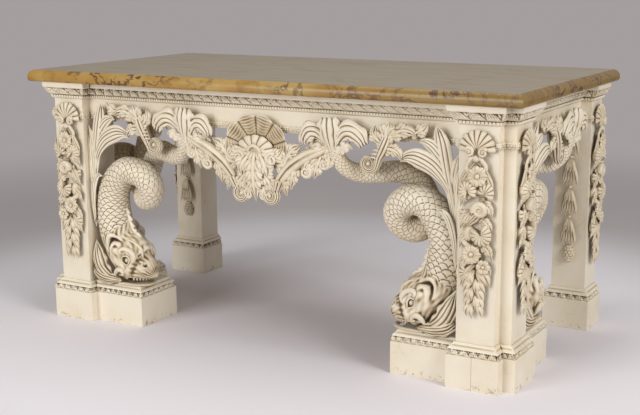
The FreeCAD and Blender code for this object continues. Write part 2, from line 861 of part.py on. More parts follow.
# Dolphins: head down on the plinth, the body rising by the leg and coiling, the tail along the rail
DOLPHIN_SPINE_SHARES = [
    (0.545, -0.21, 0.057, 0.31),
    (0.477, -0.21, 0.078, 0.71),
    (0.384, -0.23, 0.110, 0.97),
    (0.279, -0.24, 0.184, 1.00),
    (0.198, -0.25, 0.263, 0.93),
    (0.153, -0.25, 0.358, 0.86),
    (0.140, -0.24, 0.454, 0.81),
    (0.158, -0.21, 0.550, 0.77),
    (0.221, -0.17, 0.637, 0.71),
    (0.326, -0.14, 0.694, 0.67),
    (0.453, -0.16, 0.680, 0.64),
    (0.530, -0.23, 0.614, 0.61),
    (0.500, -0.34, 0.541, 0.59),
    (0.407, -0.47, 0.518, 0.56),
    (0.349, -0.64, 0.567, 0.53),
    (0.372, -0.81, 0.663, 0.51),
]
TAIL_SPINE_SHARES = [
    (0.372, -0.81, 0.663, 0.51),
    (0.442, -0.81, 0.758, 0.50),
    (0.558, -0.71, 0.805, 0.47),
    (0.698, -0.51, 0.798, 0.43),
    (0.826, -0.27, 0.797, 0.39),
    (0.919, -0.07, 0.837, 0.36),
    (0.965, 0.03, 0.906, 0.31),
    (0.984, 0.09, 0.958, 0.26),
]


def spine_point(shares, reach):
    """The centre of one of a dolphin's rings."""
    along, out, up = shares[:3]
    return spot(along * reach, level_at(up), out * size.dolphin_depth)


def ringed(spine_shares, reach, before=None, after=None):
    """A round body lofted through rings that stand square to its spine."""
    centres = [spine_point(shares, reach) for shares in spine_shares]
    first = before or centres[0]
    last = after or centres[-1]
    line = [first, *centres, last]
    rings = []
    sideways = Vector(0, -1, 0)
    for number, centre in enumerate(centres):
        run = line[number + 2] - line[number]
        run.normalize()
        sideways = sideways - run * sideways.dot(run)
        sideways.normalize()
        turn = Rotation(sideways, run.cross(sideways), run, "ZXY")
        ring = Part.Wire([Part.makeCircle(float(spine_shares[number][3] * size.dolphin_girth))])
        ring.Placement = Placement(centre, turn)
        rings.append(ring)
    return Part.makeLoft(rings, True, False)


FIN_LEAF_SHARES = [
    ((0.984, 0.93), (0.995, 1.92), 0.36, 0.36),
    ((0.990, 0.95), (1.195, 1.05), 0.50, 0.08),
    ((0.978, 0.95), (0.725, 1.16), 0.05, 0.44),
]
REED_LEAF_SHARES = [
    ((0.030, 0.66), (0.155, 1.84), 0.05, 0.085),
    ((0.060, 0.67), (0.440, 0.93), 0.20, 0.014),
    ((0.035, 0.58), (0.006, 0.92), 0.006, 0.105),
    ((0.060, 0.60), (0.060, 1.30), 0.08, 0.045),
]
SCROLL_LEAF_SHARES = [
    ((0.700, 0.83), (0.540, 1.84), 0.06, 0.105),
    ((0.600, 1.10), (0.285, 1.85), 0.22, 0.10),
    ((0.640, 0.92), (0.400, 1.45), 0.22, 0.19),
]
VOLUTE_PLACE_SHARES = (0.702, 0.875)

back = size.band_projection
below = Part.makeBox(
    float(size.frame_length),
    float(size.frame_length),
    float(foot_top),
    point(-half_length, -half_length, 0),
)


def dolphin_group(reach):
    """A dolphin, its tail, the reeds and the scroll, for a reach along the rail."""
    dowel_socket = Part.makeCylinder(
        float(size.dowel_diameter / 2 + size.joint_clearance),
        float(size.dowel_length / 2 + size.joint_clearance),
        spot(dolphin_dowel_along, foot_top, dolphin_dowel_out),
    )
    dolphin = ringed(DOLPHIN_SPINE_SHARES, reach, after=spine_point(TAIL_SPINE_SHARES[1], reach))
    dolphin = dolphin.cut([below, dowel_socket])
    holes = [
        Part.makeCylinder(
            float(hole_diameter / 2),
            float(hole_length),
            spot(share * reach, screw_level, -size.rail_thickness),
            Vector(0, -1, 0),
        )
        for share in SCREW_ALONG_SHARES
    ]
    tail = ringed(TAIL_SPINE_SHARES, reach, before=spine_point(DOLPHIN_SPINE_SHARES[-2], reach))
    tail = one_solid([tail, *leaves(FIN_LEAF_SHARES, reach, back, carving_front)])
    tail = tail.cut(holes)
    reeds = one_solid(leaves(REED_LEAF_SHARES, reach, back, back + size.reed_relief))
    reeds = reeds.cut([dolphin, *holes])
    volute_place = (VOLUTE_PLACE_SHARES[0] * reach, level_at(VOLUTE_PLACE_SHARES[1]))
    volute = disc(volute_place, size.volute_radius, back, carving_front)
    scroll = one_solid([volute, *leaves(SCROLL_LEAF_SHARES, reach, back, carving_front)])
    scroll = scroll.cut([tail, reeds, *holes])
    return {"dolphin": dolphin, "dolphin_tail": tail, "reeds": reeds, "scroll": scroll}


front_group = dolphin_group(front_reach)
side_group = dolphin_group(side_reach)
MIRROR_PLANE = (Vector(), Vector(1, 0, 0))


def set_up(name, solid, corner, turn, mirrored, label):
    """A carving drawn once, mirrored where it has to be, and set in its place."""
    shape = solid.mirror(*MIRROR_PLANE) if mirrored else solid
    thing = shaped(name, shape.Solids)
    put(thing, corner, Rotation(Vector(0, 0, 1), turn))
    return named(thing, label)


for stand in stands:
    group = front_group if stand.rail == "front" else side_group
    for part_name, solid in group.items():
        set_up(
            f"{stand.name}_{part_name}_carving",
            solid,
            stand.corner,
            stand.turn,
            stand.mirrored,
            f"{stand.name}_{part_name}",
        )

# Centre carving: a shell of two fans with a leafy pendant, and an arch of leaves to each tail
SHELL_HUB_SHARE = 0.894
INNER_FAN_SHARE = 0.52
OUTER_RELIEF_SHARE = 0.75
HUB_SHARE = 0.15
OUTER_PETALS = 11
INNER_PETALS = 7
LOWEST_PETAL_ANGLE = 15
PENDANT_LEAF_SHARES = [
    ((0.00, 0.93), (0.00, 0.603), 0.165, 0.165),
    ((0.10, 0.90), (0.78, 0.79), 0.24, 0.16),
    ((-0.10, 0.90), (-0.78, 0.79), 0.16, 0.24),
    ((0.00, 0.76), (1.10, 0.625), 0.175, 0.105),
    ((0.00, 0.76), (-1.10, 0.625), 0.105, 0.175),
]
PENDANT_VOLUTE_SHARES = [(0.90, 0.854, 0.62), (0.78, 0.66, 0.70)]
hub = (centre_line, level_at(SHELL_HUB_SHARE))
outer_front = back + OUTER_RELIEF_SHARE * size.carving_relief
shell = fan(hub, size.shell_radius, OUTER_PETALS, LOWEST_PETAL_ANGLE, back, outer_front)
shell += fan(hub, INNER_FAN_SHARE * size.shell_radius, INNER_PETALS, LOWEST_PETAL_ANGLE, back, carving_front)
shell.append(disc(hub, HUB_SHARE * size.shell_radius, back, carving_front + size.reed_relief / 2))
shell += leaves(PENDANT_LEAF_SHARES, size.pendant_width, back, carving_front)
for across_share, level_share, radius_share in PENDANT_VOLUTE_SHARES:
    for way in (-1, 1):
        place = (way * across_share * size.pendant_width, level_at(level_share))
        shell.append(disc(place, radius_share * size.volute_radius, back, carving_front))
shell = one_solid(shell)
shell_screw_holes = [
    Part.makeCylinder(
        float(hole_diameter / 2),
        float(hole_length),
        spot(share * size.shell_radius, screw_level, -size.rail_thickness),
        Vector(0, -1, 0),
    )
    for share in SHELL_SCREW_SHARES
]
shell = shell.cut(shell_screw_holes)
centre_corner = (centre_line, rail_face, floor_level)
set_up("Centre_shell", shell, centre_corner, 0, False, "front_shell")

ARCH_UPPER_SHARES = [(0.20, 0.68), (0.47, 0.857), (1.0, 0.986)]
ARCH_LOWER_SHARES = [(1.0, 0.934), (0.55, 0.797), (0.30, 0.637)]
ARCH_LEAF_SHARES = [((0.52, 0.82), (0.47, 0.70), 0.26, 0.19), ((0.74, 0.90), (0.80, 0.78), 0.19, 0.26)]
ARCH_VOLUTE_SHARES = (0.665, 0.835, 0.70)
ARCH_RELIEF_SHARE = 0.85
arch_span = leg_inner_x - front_reach
upper = [spot(across * arch_span, level_at(up), back) for across, up in ARCH_UPPER_SHARES]
lower = [spot(across * arch_span, level_at(up), back) for across, up in ARCH_LOWER_SHARES]
arch_edges = [
    Part.Arc(*upper).toShape(),
    Part.LineSegment(upper[-1], lower[0]).toShape(),
    Part.Arc(*lower).toShape(),
    Part.LineSegment(lower[-1], upper[0]).toShape(),
]
arch_front = back + ARCH_RELIEF_SHARE * size.carving_relief
arch_band = Part.Face(Part.Wire(arch_edges)).extrude(point(0, back - arch_front, 0))
across_share, level_share, radius_share = ARCH_VOLUTE_SHARES
arch_volute = disc(
    (across_share * arch_span, level_at(level_share)),
    radius_share * size.volute_radius,
    back,
    arch_front,
)
arch = one_solid([arch_band, arch_volute, *leaves(ARCH_LEAF_SHARES, arch_span, back, arch_front)])
right_tail = front_group["dolphin_tail"].mirror(*MIRROR_PLANE)
right_tail.Placement = Placement(point(leg_inner_x, 0, 0), Rotation())
arch = arch.cut([shell, right_tail])
set_up("Arch_left", arch, centre_corner, 0, True, "front_left_arch")
set_up("Arch_right", arch, centre_corner, 0, False, "front_right_arch")

# Leg drops: a shell capital over hanging shells, flowers and leaves, or husks on the back legs
CAPITAL_HUB_SHARE = 1.05
CAPITAL_PETALS = 7
CAPITAL_BOW_SHARE = 0.21
CAPITAL_RADIUS_SHARE = 0.62
CAPITAL_HUB_RADIUS_SHARE = 0.15
SHELL_DROP_BOSS_SHARES = [
    (0.00, 0.960, 0.24),
    (-0.20, 0.885, 0.22),
    (0.20, 0.830, 0.24),
    (-0.08, 0.765, 0.26),
    (0.14, 0.690, 0.25),
    (-0.16, 0.625, 0.26),
    (0.12, 0.555, 0.27),
    (-0.10, 0.480, 0.27),
    (0.10, 0.410, 0.26),
    (-0.04, 0.345, 0.24),
]
DROP_STEM_SHARES = (0.985, 0.33)
SHELL_DROP_LEAF_SHARES = [
    ((0.0, 0.36), (-0.42, 0.18), 0.055, 0.14),
    ((0.0, 0.36), (0.02, 0.136), 0.11, 0.11),
    ((0.0, 0.36), (0.44, 0.20), 0.155, 0.06),
]
HUSK_LEVEL_SHARES = (0.93, 0.82, 0.71, 0.60, 0.49, 0.38)
HUSK_HEIGHT_SHARE = 0.118
HUSK_RADIUS_SHARE = 0.30
HUSK_TOP_SHARE = 0.10
HUSK_TIP_SHARES = (0.255, 0.24)
DROP_OUT_SHARE = 0.12
SEAM_TURN = 37
RIBBON_LEAF_SHARES = [((0.0, 1.45), (0.0, 0.90), 0.19, 0.19)]
drop_out = DROP_OUT_SHARE * size.drop_relief
face_plane = as_size(0)


def capital():
    """The little shell at the head of a drop: petals spread round a hub, in front of the band."""
    level = level_at(CAPITAL_HUB_SHARE)
    petal_back = size.band_projection
    petal_front = petal_back + size.reed_relief
    petals = [disc((0, level), CAPITAL_HUB_RADIUS_SHARE * size.drop_width, petal_back, petal_front)]
    for number in range(CAPITAL_PETALS):
        share = number / (CAPITAL_PETALS - 1)
        angle = math.radians(LOWEST_PETAL_ANGLE + (180 - 2 * LOWEST_PETAL_ANGLE) * share)
        reach = CAPITAL_RADIUS_SHARE * size.drop_width
        tip = (reach * math.cos(angle), level + reach * math.sin(angle))
        petals.append(leaf((0, level), tip, CAPITAL_BOW_SHARE, CAPITAL_BOW_SHARE, petal_back, petal_front))
    return petals


def dome(centre, radius, back):
    """Half a ball, flat side on the back plane, its seam turned away from the plane's own lines."""
    middle = spot(*centre, back)
    half_ball = Part.makeSphere(float(radius), middle, Vector(0, -1, 0), 0, 90, 360)
    half_ball.rotate(middle, Vector(0, 1, 0), SEAM_TURN)
    return half_ball


def boss(across_share, level_share, radius_share):
    """A round fruit, flower or shell of a drop, half sunk in the leg."""
    centre = (across_share * size.drop_width, level_at(level_share))
    return dome(centre, radius_share * size.drop_width, face_plane)


def shell_drop():
    """A string of shells and flowers below the capital, ending in three long leaves."""
    ribbon_back = size.band_projection
    ribbon = leaves(RIBBON_LEAF_SHARES, size.drop_width, ribbon_back, ribbon_back + size.reed_relief)
    bosses = [boss(*shares) for shares in SHELL_DROP_BOSS_SHARES]
    ends = leaves(SHELL_DROP_LEAF_SHARES, size.drop_width, face_plane, size.drop_relief / 2)
    stem_top, stem_bottom = [level_at(share) for share in DROP_STEM_SHARES]
    stem = Part.makeBox(
        float(size.drop_stem_width),
        float(size.drop_stem_relief),
        float(stem_top - stem_bottom),
        spot(-size.drop_stem_width / 2, stem_bottom, size.drop_stem_relief),
    )
    return one_solid([*capital(), *ribbon, stem, *bosses, *ends])


def husk_drop():
    """A string of bell husks one below the other, ending in a round tip."""
    husks = [boss(0, *HUSK_TIP_SHARES)]
    height = HUSK_HEIGHT_SHARE * (rail_bottom - foot_top)
    for level_share in HUSK_LEVEL_SHARES:
        husks.append(
            Part.makeCone(
                float(HUSK_TOP_SHARE * size.drop_width),
                float(HUSK_RADIUS_SHARE * size.drop_width),
                float(height),
                spot(0, level_at(level_share), drop_out),
                Vector(0, 0, -1),
            )
        )
    return in_front(one_solid(husks), face_plane)


front_drop = shell_drop()
back_drop = husk_drop()
front_drop_x = (leg_inner_x + notch_x) / 2
side_drop_y = (leg_inner_y + notch_y) / 2
back_drop_x = half_length - size.back_leg_width / 2
back_side_drop_y = half_depth - size.back_leg_depth / 2
for side, way in SIDES:
    outer = way * half_length
    mirrored = way < 0
    for place, solid, corner, turn in (
        (f"front_{side}_leg_front_drop", front_drop, (way * front_drop_x, front_face), 0),
        (f"front_{side}_leg_side_drop", front_drop, (outer, side_drop_y), way * 90),
        (f"back_{side}_leg_front_drop", back_drop, (way * back_drop_x, back_leg_front), 0),
        (f"back_{side}_leg_side_drop", front_drop, (outer, back_side_drop_y), way * 90),
    ):
        set_up(f"Carved_{place}", solid, (*corner, floor_level), turn, mirrored, place)

doc.recompute()
os.makedirs("parts", exist_ok=True)
for thing in doc.Objects:
    if "Invalid" in thing.State or "Error" in thing.State:
        raise RuntimeError(f"{thing.Label} failed: {thing.State}")
for thing in nodes:
    if thing.Shape.isNull() or not thing.Shape.isValid():
        raise RuntimeError(f"{thing.Label} has no valid shape")
    thing.Shape.exportStep(f"parts/{thing.Label}.step")
    print(thing.Label, len(thing.Shape.Solids), round(thing.Shape.Volume))
print(len(nodes), "pieces")
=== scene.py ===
import math

import bmesh
import bpy
import numpy as np
from mathutils import Matrix, Vector


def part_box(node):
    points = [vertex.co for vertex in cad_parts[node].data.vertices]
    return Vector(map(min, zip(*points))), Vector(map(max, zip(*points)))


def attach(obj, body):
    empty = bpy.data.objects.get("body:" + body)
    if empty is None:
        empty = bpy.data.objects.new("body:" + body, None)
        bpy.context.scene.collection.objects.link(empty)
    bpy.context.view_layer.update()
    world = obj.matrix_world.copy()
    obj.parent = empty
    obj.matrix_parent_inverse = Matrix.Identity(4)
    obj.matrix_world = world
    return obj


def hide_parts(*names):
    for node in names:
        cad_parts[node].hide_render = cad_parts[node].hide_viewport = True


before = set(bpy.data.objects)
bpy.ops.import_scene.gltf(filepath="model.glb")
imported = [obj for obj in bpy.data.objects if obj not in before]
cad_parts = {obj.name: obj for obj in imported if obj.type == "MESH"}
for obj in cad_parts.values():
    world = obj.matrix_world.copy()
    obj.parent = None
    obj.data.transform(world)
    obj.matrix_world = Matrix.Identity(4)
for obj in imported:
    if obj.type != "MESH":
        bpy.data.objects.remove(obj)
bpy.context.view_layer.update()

# Legs and plinths: four posts on stepped blocks, of jointed pine under cream oil paint.
# The front posts have their outer corner notched. Every edge was eased by hand before it was painted,
# and a thin brown glaze was wiped over the paint, so it stays in the corners. The brown that the paint
# takes in hollows and corners is that glaze together with painted shade.
CREAM = (0.80, 0.725, 0.585, 1)
WARM_CREAM = (0.75, 0.655, 0.495, 1)
# The wash and glaze colours below also paint shade into hollows, corners and gaps between parts.
WASH_AND_SHADE = (0.51, 0.395, 0.235, 1)
GLAZE = (0.115, 0.075, 0.036, 1)
CHIPPED_WOOD = (0.25, 0.16, 0.085, 1)
CORNER_REACH = 0.028
CHIPPED_BELOW = 0.03
SEAM_ACROSS = 0.7585
SEAM_TOP = (0.104, 0.106)
SEAM_BACK = (-0.40, -0.39)
EASED_EDGE = 0.0016
FLAT_ANGLE = math.radians(1)
SHARP_ANGLE = math.radians(35)
MERGE = 1e-5


class Shade:
    """A socket of a material. Sums on it add their own nodes."""

    def __init__(self, tree, socket=None):
        self.tree = tree
        self.socket = socket

    def node(self, kind, settings=None, sockets=None, output=0):
        """A node of that kind: its settings are made first, then its sockets are filled or linked."""
        made = self.tree.nodes.new(kind)
        for name, value in (settings or {}).items():
            setattr(made, name, value)
        for name, value in (sockets or {}).items():
            if isinstance(value, Shade):
                self.tree.links.new(value.socket, made.inputs[name])
            else:
                made.inputs[name].default_value = value
        return Shade(self.tree, made.outputs[output])

    def sum(self, operation, first, second):
        return self.node("ShaderNodeMath", {"operation": operation}, {0: first, 1: second})

    def __add__(self, other):
        return self.sum("ADD", self, other)

    def __sub__(self, other):
        return self.sum("SUBTRACT", self, other)

    def __rsub__(self, other):
        return self.sum("SUBTRACT", other, self)

    def __mul__(self, other):
        return self.sum("MULTIPLY", self, other)

    __radd__ = __add__
    __rmul__ = __mul__

    def most(self, other):
        return self.sum("MAXIMUM", self, other)

    def between(self, low, high):
        """0 below low, 1 above high, and a soft step between them."""
        soft = {"interpolation_type": "SMOOTHSTEP"}
        return self.node("ShaderNodeMapRange", soft, {"Value": self, "From Min": low, "From Max": high})

    def blend(self, first, second):
        """Two colours mixed, with this as the share of the second."""
        return self.node("ShaderNodeMix", {"data_type": "RGBA"}, {0: self, 6: first, 7: second}, 2)

    def part(self, axis):
        """How far a place lies along one axis."""
        return self.node("ShaderNodeSeparateXYZ", None, {0: self}, axis)

    def noise(self, scale, detail=3.0, rough=0.55):
        """A cloudy pattern over places."""
        sockets = {"Vector": self, "Scale": scale, "Detail": detail, "Roughness": rough}
        return self.node("ShaderNodeTexNoise", None, sockets, "Fac")

    def stretched(self, scale):
        return self.node("ShaderNodeMapping", None, {"Vector": self, "Scale": scale})

    def into(self, shader, socket):
        self.tree.links.new(self.socket, shader.inputs[socket])

    def bump(self, shader, strength, distance):
        """Roughens a surface by this."""
        sockets = {"Strength": strength, "Distance": distance, "Height": self}
        self.node("ShaderNodeBump", None, sockets).into(shader, "Normal")


def new_finish(name):
    """An empty finish: the material, its shader, and the places on a piece, to start sums from."""
    finish = bpy.data.materials.new(name)
    finish.use_nodes = True
    tree = finish.node_tree
    return finish, tree.nodes["Principled BSDF"], Shade(tree).node("ShaderNodeTexCoord", output="Object")


def cream_paint():
    """Old cream oil paint: cloudy, cracked, brown in hollows and corners from glaze and painted shade,
    chipped near the floor.
    """
    finish, shader, place = new_finish("cream_paint")
    hollow = place.node("ShaderNodeAttribute", {"attribute_name": "hollow"}, output="Fac")
    sky = place.node("ShaderNodeAmbientOcclusion", {"samples": 8}, {"Distance": CORNER_REACH}, "AO")
    clouds = place.noise(7.0, 4.0)
    patches = place.noise(38.0, 4.0)
    # Occlusion darkens corners and the gaps between parts: partly the glaze, partly painted shade.
    corner = (1 - sky).between(0.27, 0.70) * (0.50 + 0.50 * patches)
    uneven = (patches - 0.5) * hollow.between(0.05, 0.3)
    depth = hollow + corner * (0.24 + 0.86 * hollow) + 0.42 * uneven
    colour = clouds.between(0.35, 0.72).blend(CREAM, WARM_CREAM)
    colour = depth.between(0.08, 0.58).blend(colour, WASH_AND_SHADE)
    glaze_and_shade = depth.between(0.46, 0.98)
    cells = {"Vector": place.stretched((1.0, 1.0, 0.45)), "Scale": 34.0}
    web = place.node("ShaderNodeTexVoronoi", {"feature": "DISTANCE_TO_EDGE"}, cells)
    cracks = (1 - web.between(0.004, 0.018)) * clouds.between(0.50, 0.66) * 0.20
    colour = cracks.most(glaze_and_shade).blend(colour, GLAZE)
    height = place.part("Z")
    low_down = 1 - height.between(0.002, CHIPPED_BELOW)
    chips = low_down * place.noise(55.0, 5.0, 0.7).between(0.57, 0.63)
    colour = (chips * 0.75).blend(colour, CHIPPED_WOOD)
    aside = 1000 * (place.part("X") + 0.0016 * clouds - SEAM_ACROSS)
    seam = (1 - (aside * aside).between(0.1, 0.9)) * (1 - height.between(*SEAM_TOP))
    seam = seam * (1 - place.part("Y").between(*SEAM_BACK))
    colour = (seam * 0.55).blend(colour, GLAZE)
    colour.into(shader, "Base Color")
    (0.40 + 0.22 * glaze_and_shade + 0.10 * patches).into(shader, "Roughness")
    grain = place.stretched((1.0, 1.0, 0.25)).noise(210.0, 3.0)
    (grain + patches - 0.6 * cracks - chips).bump(shader, 0.10, 0.0015)
    return finish


paint = cream_paint()


def set_piece(mesh, node):
    """The finished mesh, painted, as a piece that stands for a CAD node and rides on the frame."""
    piece = bpy.data.objects.new(f"{node}_finished", mesh)
    bpy.context.scene.collection.objects.link(piece)
    mesh.materials.clear()
    mesh.materials.append(paint)
    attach(piece, "frame")
    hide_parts(node)


def set_eased(node):
    """A plain piece with its own mesh, the sharp edges taken off."""
    shaped = bmesh.new()
    shaped.from_mesh(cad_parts[node].data)
    bmesh.ops.remove_doubles(shaped, verts=shaped.verts, dist=MERGE)
    bmesh.ops.dissolve_limit(shaped, angle_limit=FLAT_ANGLE, verts=shaped.verts, edges=shaped.edges)
    sharp = [e for e in shaped.edges if e.is_manifold and e.calc_face_angle() > SHARP_ANGLE]
    bmesh.ops.bevel(
        shaped,
        geom=sharp,
        offset=EASED_EDGE,
        offset_type="OFFSET",
        segments=2,
        profile=0.5,
        affect="EDGES",
        material=-1,
        clamp_overlap=True,
    )
    mesh = bpy.data.meshes.new(node)
    shaped.to_mesh(mesh)
    shaped.free()
    set_piece(mesh, node)


for post in ("front_left", "front_right", "back_left", "back_right"):
    set_eased(f"{post}_leg")
    set_eased(f"{post}_plinth")
stand_names = ["front_left", "front_right", "left", "right"]
for name in stand_names:
    set_eased(f"{name}_dolphin_plinth")

# Rails and hidden joinery: three painted rails and a plain back rail tenoned into the legs,
# with two bearers under the slab, glue blocks in the corners, pegs and dowels, all of bare pine.
# Steel screws driven from inside the rails hold the carvings.
PINE = (0.44, 0.27, 0.13, 1)
PINE_GRAIN = (0.27, 0.145, 0.06, 1)
STEEL = (0.42, 0.41, 0.40, 1)


def bare_pine():
    """Old unpainted pine with long rings of grain, darker where it is dirty."""
    finish, shader, place = new_finish("bare_pine")
    rings = place.stretched((1.5, 22.0, 22.0)).noise(3.0, 5.0, 0.6)
    dirt = place.noise(9.0, 3.0)
    colour = rings.between(0.38, 0.66).blend(PINE, PINE_GRAIN)
    colour = (dirt.between(0.5, 0.8) * 0.5).blend(colour, GLAZE)
    colour.into(shader, "Base Color")
    (0.55 + 0.25 * rings).into(shader, "Roughness")
    rings.bump(shader, 0.2, 0.001)
    return finish


def dull_steel():
    """Plain steel screws, dulled in places."""
    finish, shader, place = new_finish("screw_steel")
    dull = place.noise(300.0, 3.0)
    (dull.between(0.45, 0.7) * 0.5).blend(STEEL, CHIPPED_WOOD).into(shader, "Base Color")
    (0.35 + 0.3 * dull).into(shader, "Roughness")
    shader.inputs["Metallic"].default_value = 0.9
    return finish


pine = bare_pine()
steel = dull_steel()


def dress(node, finish):
    """A CAD piece that stays as it is, with its real finish."""
    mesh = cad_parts[node].data
    mesh.materials.clear()
    mesh.materials.append(finish)


for side in ("front", "left", "right"):
    set_eased(f"{side}_rail")
for node in ("back_rail", "cross_bearers", "corner_blocks", "tenon_pegs", "plinth_dowels"):
    dress(node, pine)
dress("carving_screws", steel)

# Mouldings: a cornice carved with curled leaves over a line of beads, a narrow band of flowers along
# the foot of the rails, and a leaf moulding round each plinth, all run in pine, carved, and mitred
# round the legs.
MM = 0.001
CORNICE_PROFILE = [
    (0.0, 0.12),
    (0.06, 0.24),
    (0.17, 0.26),
    (0.22, 0.18),
    (0.26, 0.40),
    (0.36, 0.60),
    (0.50, 0.72),
    (0.64, 0.78),
    (0.68, 0.92),
    (0.97, 0.96),
    (1.0, 1.0),
]
BAND_PROFILE = [(0.0, 0.35), (0.12, 0.75), (0.5, 1.0), (0.85, 0.9), (1.0, 0.45)]
BASE_PROFILE = [
    (0.0, 0.76),
    (0.05, 0.76),
    (0.08, 0.94),
    (0.34, 0.94),
    (0.44, 0.78),
    (0.48, 0.86),
    (0.62, 0.74),
    (0.74, 0.48),
    (1.0, 0.2),
]
CORNICE_OUT = 32
BAND_OUT = 9
BASE_OUT = 22
CARVING_STEP = 2.0
ROW_HEIGHT = 1.7
NEAR_HOLLOW = 0.10
WIDE_HOLLOW = 1.0
NEAR_SHARE = 0.50
WIDE_SHARE = 0.46
HOLLOW_RANGE = (-0.55, 1.5)
EVENING_PASSES = 10
LOW_WASH = 0.42
MOULDED_GROUND = -0.06
BASE_GROUND = 0.12
LOW_BASE_GROUND = 0.18
BEAD_PITCH = 10.0
BEAD_SPAN = (0.05, 0.19)
BEAD_RISE = 2.8
LEAF_PITCH = 38.0
LEAF_LEAN = 0.35
LEAF_FOOT = 0.24
LEAF_TALL = 0.40
LEAF_SPAN = (0.25, 0.66)
LEAF_RISE = 7.0
FLOWER_PITCH = 25.0
FLOWER_SPAN = (0.04, 0.96)
FLOWER_RISE = 5.0
FLOWER_SINK = 2.8
BASE_LEAF_PITCH = 24.0
BASE_LEAF_FOOT = 0.08
BASE_LEAF_TALL = 0.36
BASE_LEAF_SPAN = (0.08, 0.44)
BASE_LEAF_RISE = 8.5
BASE_LEAF_SINK = 3.0
LEAST_OUT = 0.5


def low_mm(node):
    return np.array(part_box(node)[0]) / MM


def high_mm(node):
    return np.array(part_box(node)[1]) / MM


def skin(form, spots):
    """Lays a grid over rows of spots, joins it where its edges meet, and closes its open ends."""
    rows, columns = spots.shape[:2]
    patch = bmesh.new()
    grid = bmesh.ops.create_grid(patch, x_segments=columns - 1, y_segments=rows - 1, size=1)["verts"]
    for vert, spot in zip(grid, (spots * MM).reshape(-1, 3)):
        vert.co = spot
    bmesh.ops.remove_doubles(patch, verts=patch.verts, dist=MERGE)
    bmesh.ops.holes_fill(patch, edges=[e for e in patch.edges if e.is_boundary], sides=0)
    mesh = bpy.data.meshes.new("patch")
    patch.to_mesh(mesh)
    patch.free()
    form.from_mesh(mesh)
    bpy.data.meshes.remove(mesh)


def hollows(mesh, ground, low_ground):
    """Marks how deep each point lies among its neighbours, near and wide, where glaze and painted shade
    gather.
    """
    count = len(mesh.vertices)
    spots = np.empty(count * 3, np.float32)
    mesh.vertices.foreach_get("co", spots)
    normals = np.empty(count * 3, np.float32)
    mesh.vertex_normals.foreach_get("vector", normals)
    ends = np.empty(len(mesh.edges) * 2, np.int32)
    mesh.edges.foreach_get("vertices", ends)
    spots, normals, ends = spots.reshape(-1, 3), normals.reshape(-1, 3), ends.reshape(-1, 2)
    first, second = np.concatenate([ends, ends[:, ::-1]]).T
    meets = np.maximum(np.bincount(first, minlength=count), 1)

    def evened(values):
        return np.bincount(first, values[second], count) / meets

    run = spots[second] - spots[first]
    run /= np.maximum(np.linalg.norm(run, axis=1, keepdims=True), 1e-9)
    near = np.bincount(first, (run * normals[first]).sum(1), count) / meets
    near = (near + evened(near)) / 2
    evener = spots
    for _ in range(EVENING_PASSES):
        evener = np.stack([evened(column) for column in evener.T], 1)
    wide = ((evener - spots) * normals).sum(1) / MM
    low_down = np.clip((LOW_WASH - spots[:, 2]) / LOW_WASH, 0, 1)
    near = np.clip(near / NEAR_HOLLOW, *HOLLOW_RANGE)
    wide = np.clip(wide / WIDE_HOLLOW, *HOLLOW_RANGE)
    # Deeper points take more brown: the glaze, and painted shade in the recesses.
    depth = ground + (low_ground - ground) * low_down + NEAR_SHARE * near + WIDE_SHARE * wide
    marks = mesh.attributes.new("hollow", "FLOAT", "POINT")
    marks.data.foreach_set("value", np.clip(depth, 0, 1).astype(np.float32))


def carved_mesh(form, name, ground, low_ground=None):
    """The finished mesh of a carving, smooth, with its faces outwards.

    Ground is how much wash its flats took, and low ground is the same at the floor, where it differs.
    """
    bmesh.ops.recalc_face_normals(form, faces=form.faces)
    for face in form.faces:
        face.smooth = True
    mesh = bpy.data.meshes.new(name)
    form.to_mesh(mesh)
    form.free()
    hollows(mesh, ground, ground if low_ground is None else low_ground)
    return mesh


def cell(shares):
    """A share of a repeat, from -1 to 1."""
    return 2 * (shares - np.floor(shares)) - 1


def bell(away):
    """1 in the middle, and soft slopes down to 0 on both sides."""
    return np.exp(-(away**2))


def spread(points, way):
    """Points with their distance from the middle taken so many times. -1 mirrors them."""
    return [(way * across, *rest) for across, *rest in points]


def leaf_carving(along, up, pitch, lean=0.0):
    """Leaves that stand side by side, cut in five fingers, with a small tongue between their tips."""
    up = np.clip(up, 0, 1)
    across = cell(along / pitch + 0.05 * np.sin(along / 31) + lean * up)
    wide = 1.02 - 0.50 * up**1.5
    body = np.sqrt(np.clip(1 - (across / wide) ** 2, 0, 1))
    fingers = np.cos(5 * np.pi * across / wide) * (0.35 + 0.65 * up)
    tongue = bell((1 - np.abs(across)) / 0.13) * up
    return body + 0.30 * fingers + 0.75 * tongue - 0.75


def within(span, up, relief):
    """Relief in a span of the height, and none elsewhere."""
    return np.where((up > span[0]) & (up < span[1]), relief, 0)


def cornice_carving(along, up):
    """A line of beads below, a row of leaves over it, and a plain fillet at the top."""
    bead = np.abs(np.cos(np.pi * along / BEAD_PITCH + 1.5 * up)) - 0.5
    leaf = leaf_carving(along, (up - LEAF_FOOT) / LEAF_TALL, LEAF_PITCH, LEAF_LEAN)
    return within(BEAD_SPAN, up, BEAD_RISE * bead) + within(LEAF_SPAN, up, LEAF_RISE * leaf)


def band_carving(along, up):
    """Small flowers of four petals with a leaf between each two."""
    across = cell(along / FLOWER_PITCH)
    rise = 2 * up - 1
    reach = np.hypot(1.25 * across, rise)
    turn = np.arctan2(rise, 1.25 * across)
    petals = bell((reach - 0.5) / 0.26) * (0.55 + 0.45 * np.cos(4 * turn))
    eye = bell(reach / 0.16)
    sprig = bell((np.abs(across) - 1) / 0.13) * np.cos(1.4 * rise)
    return within(FLOWER_SPAN, up, FLOWER_RISE * (petals + 0.8 * eye + 0.7 * sprig) - FLOWER_SINK)


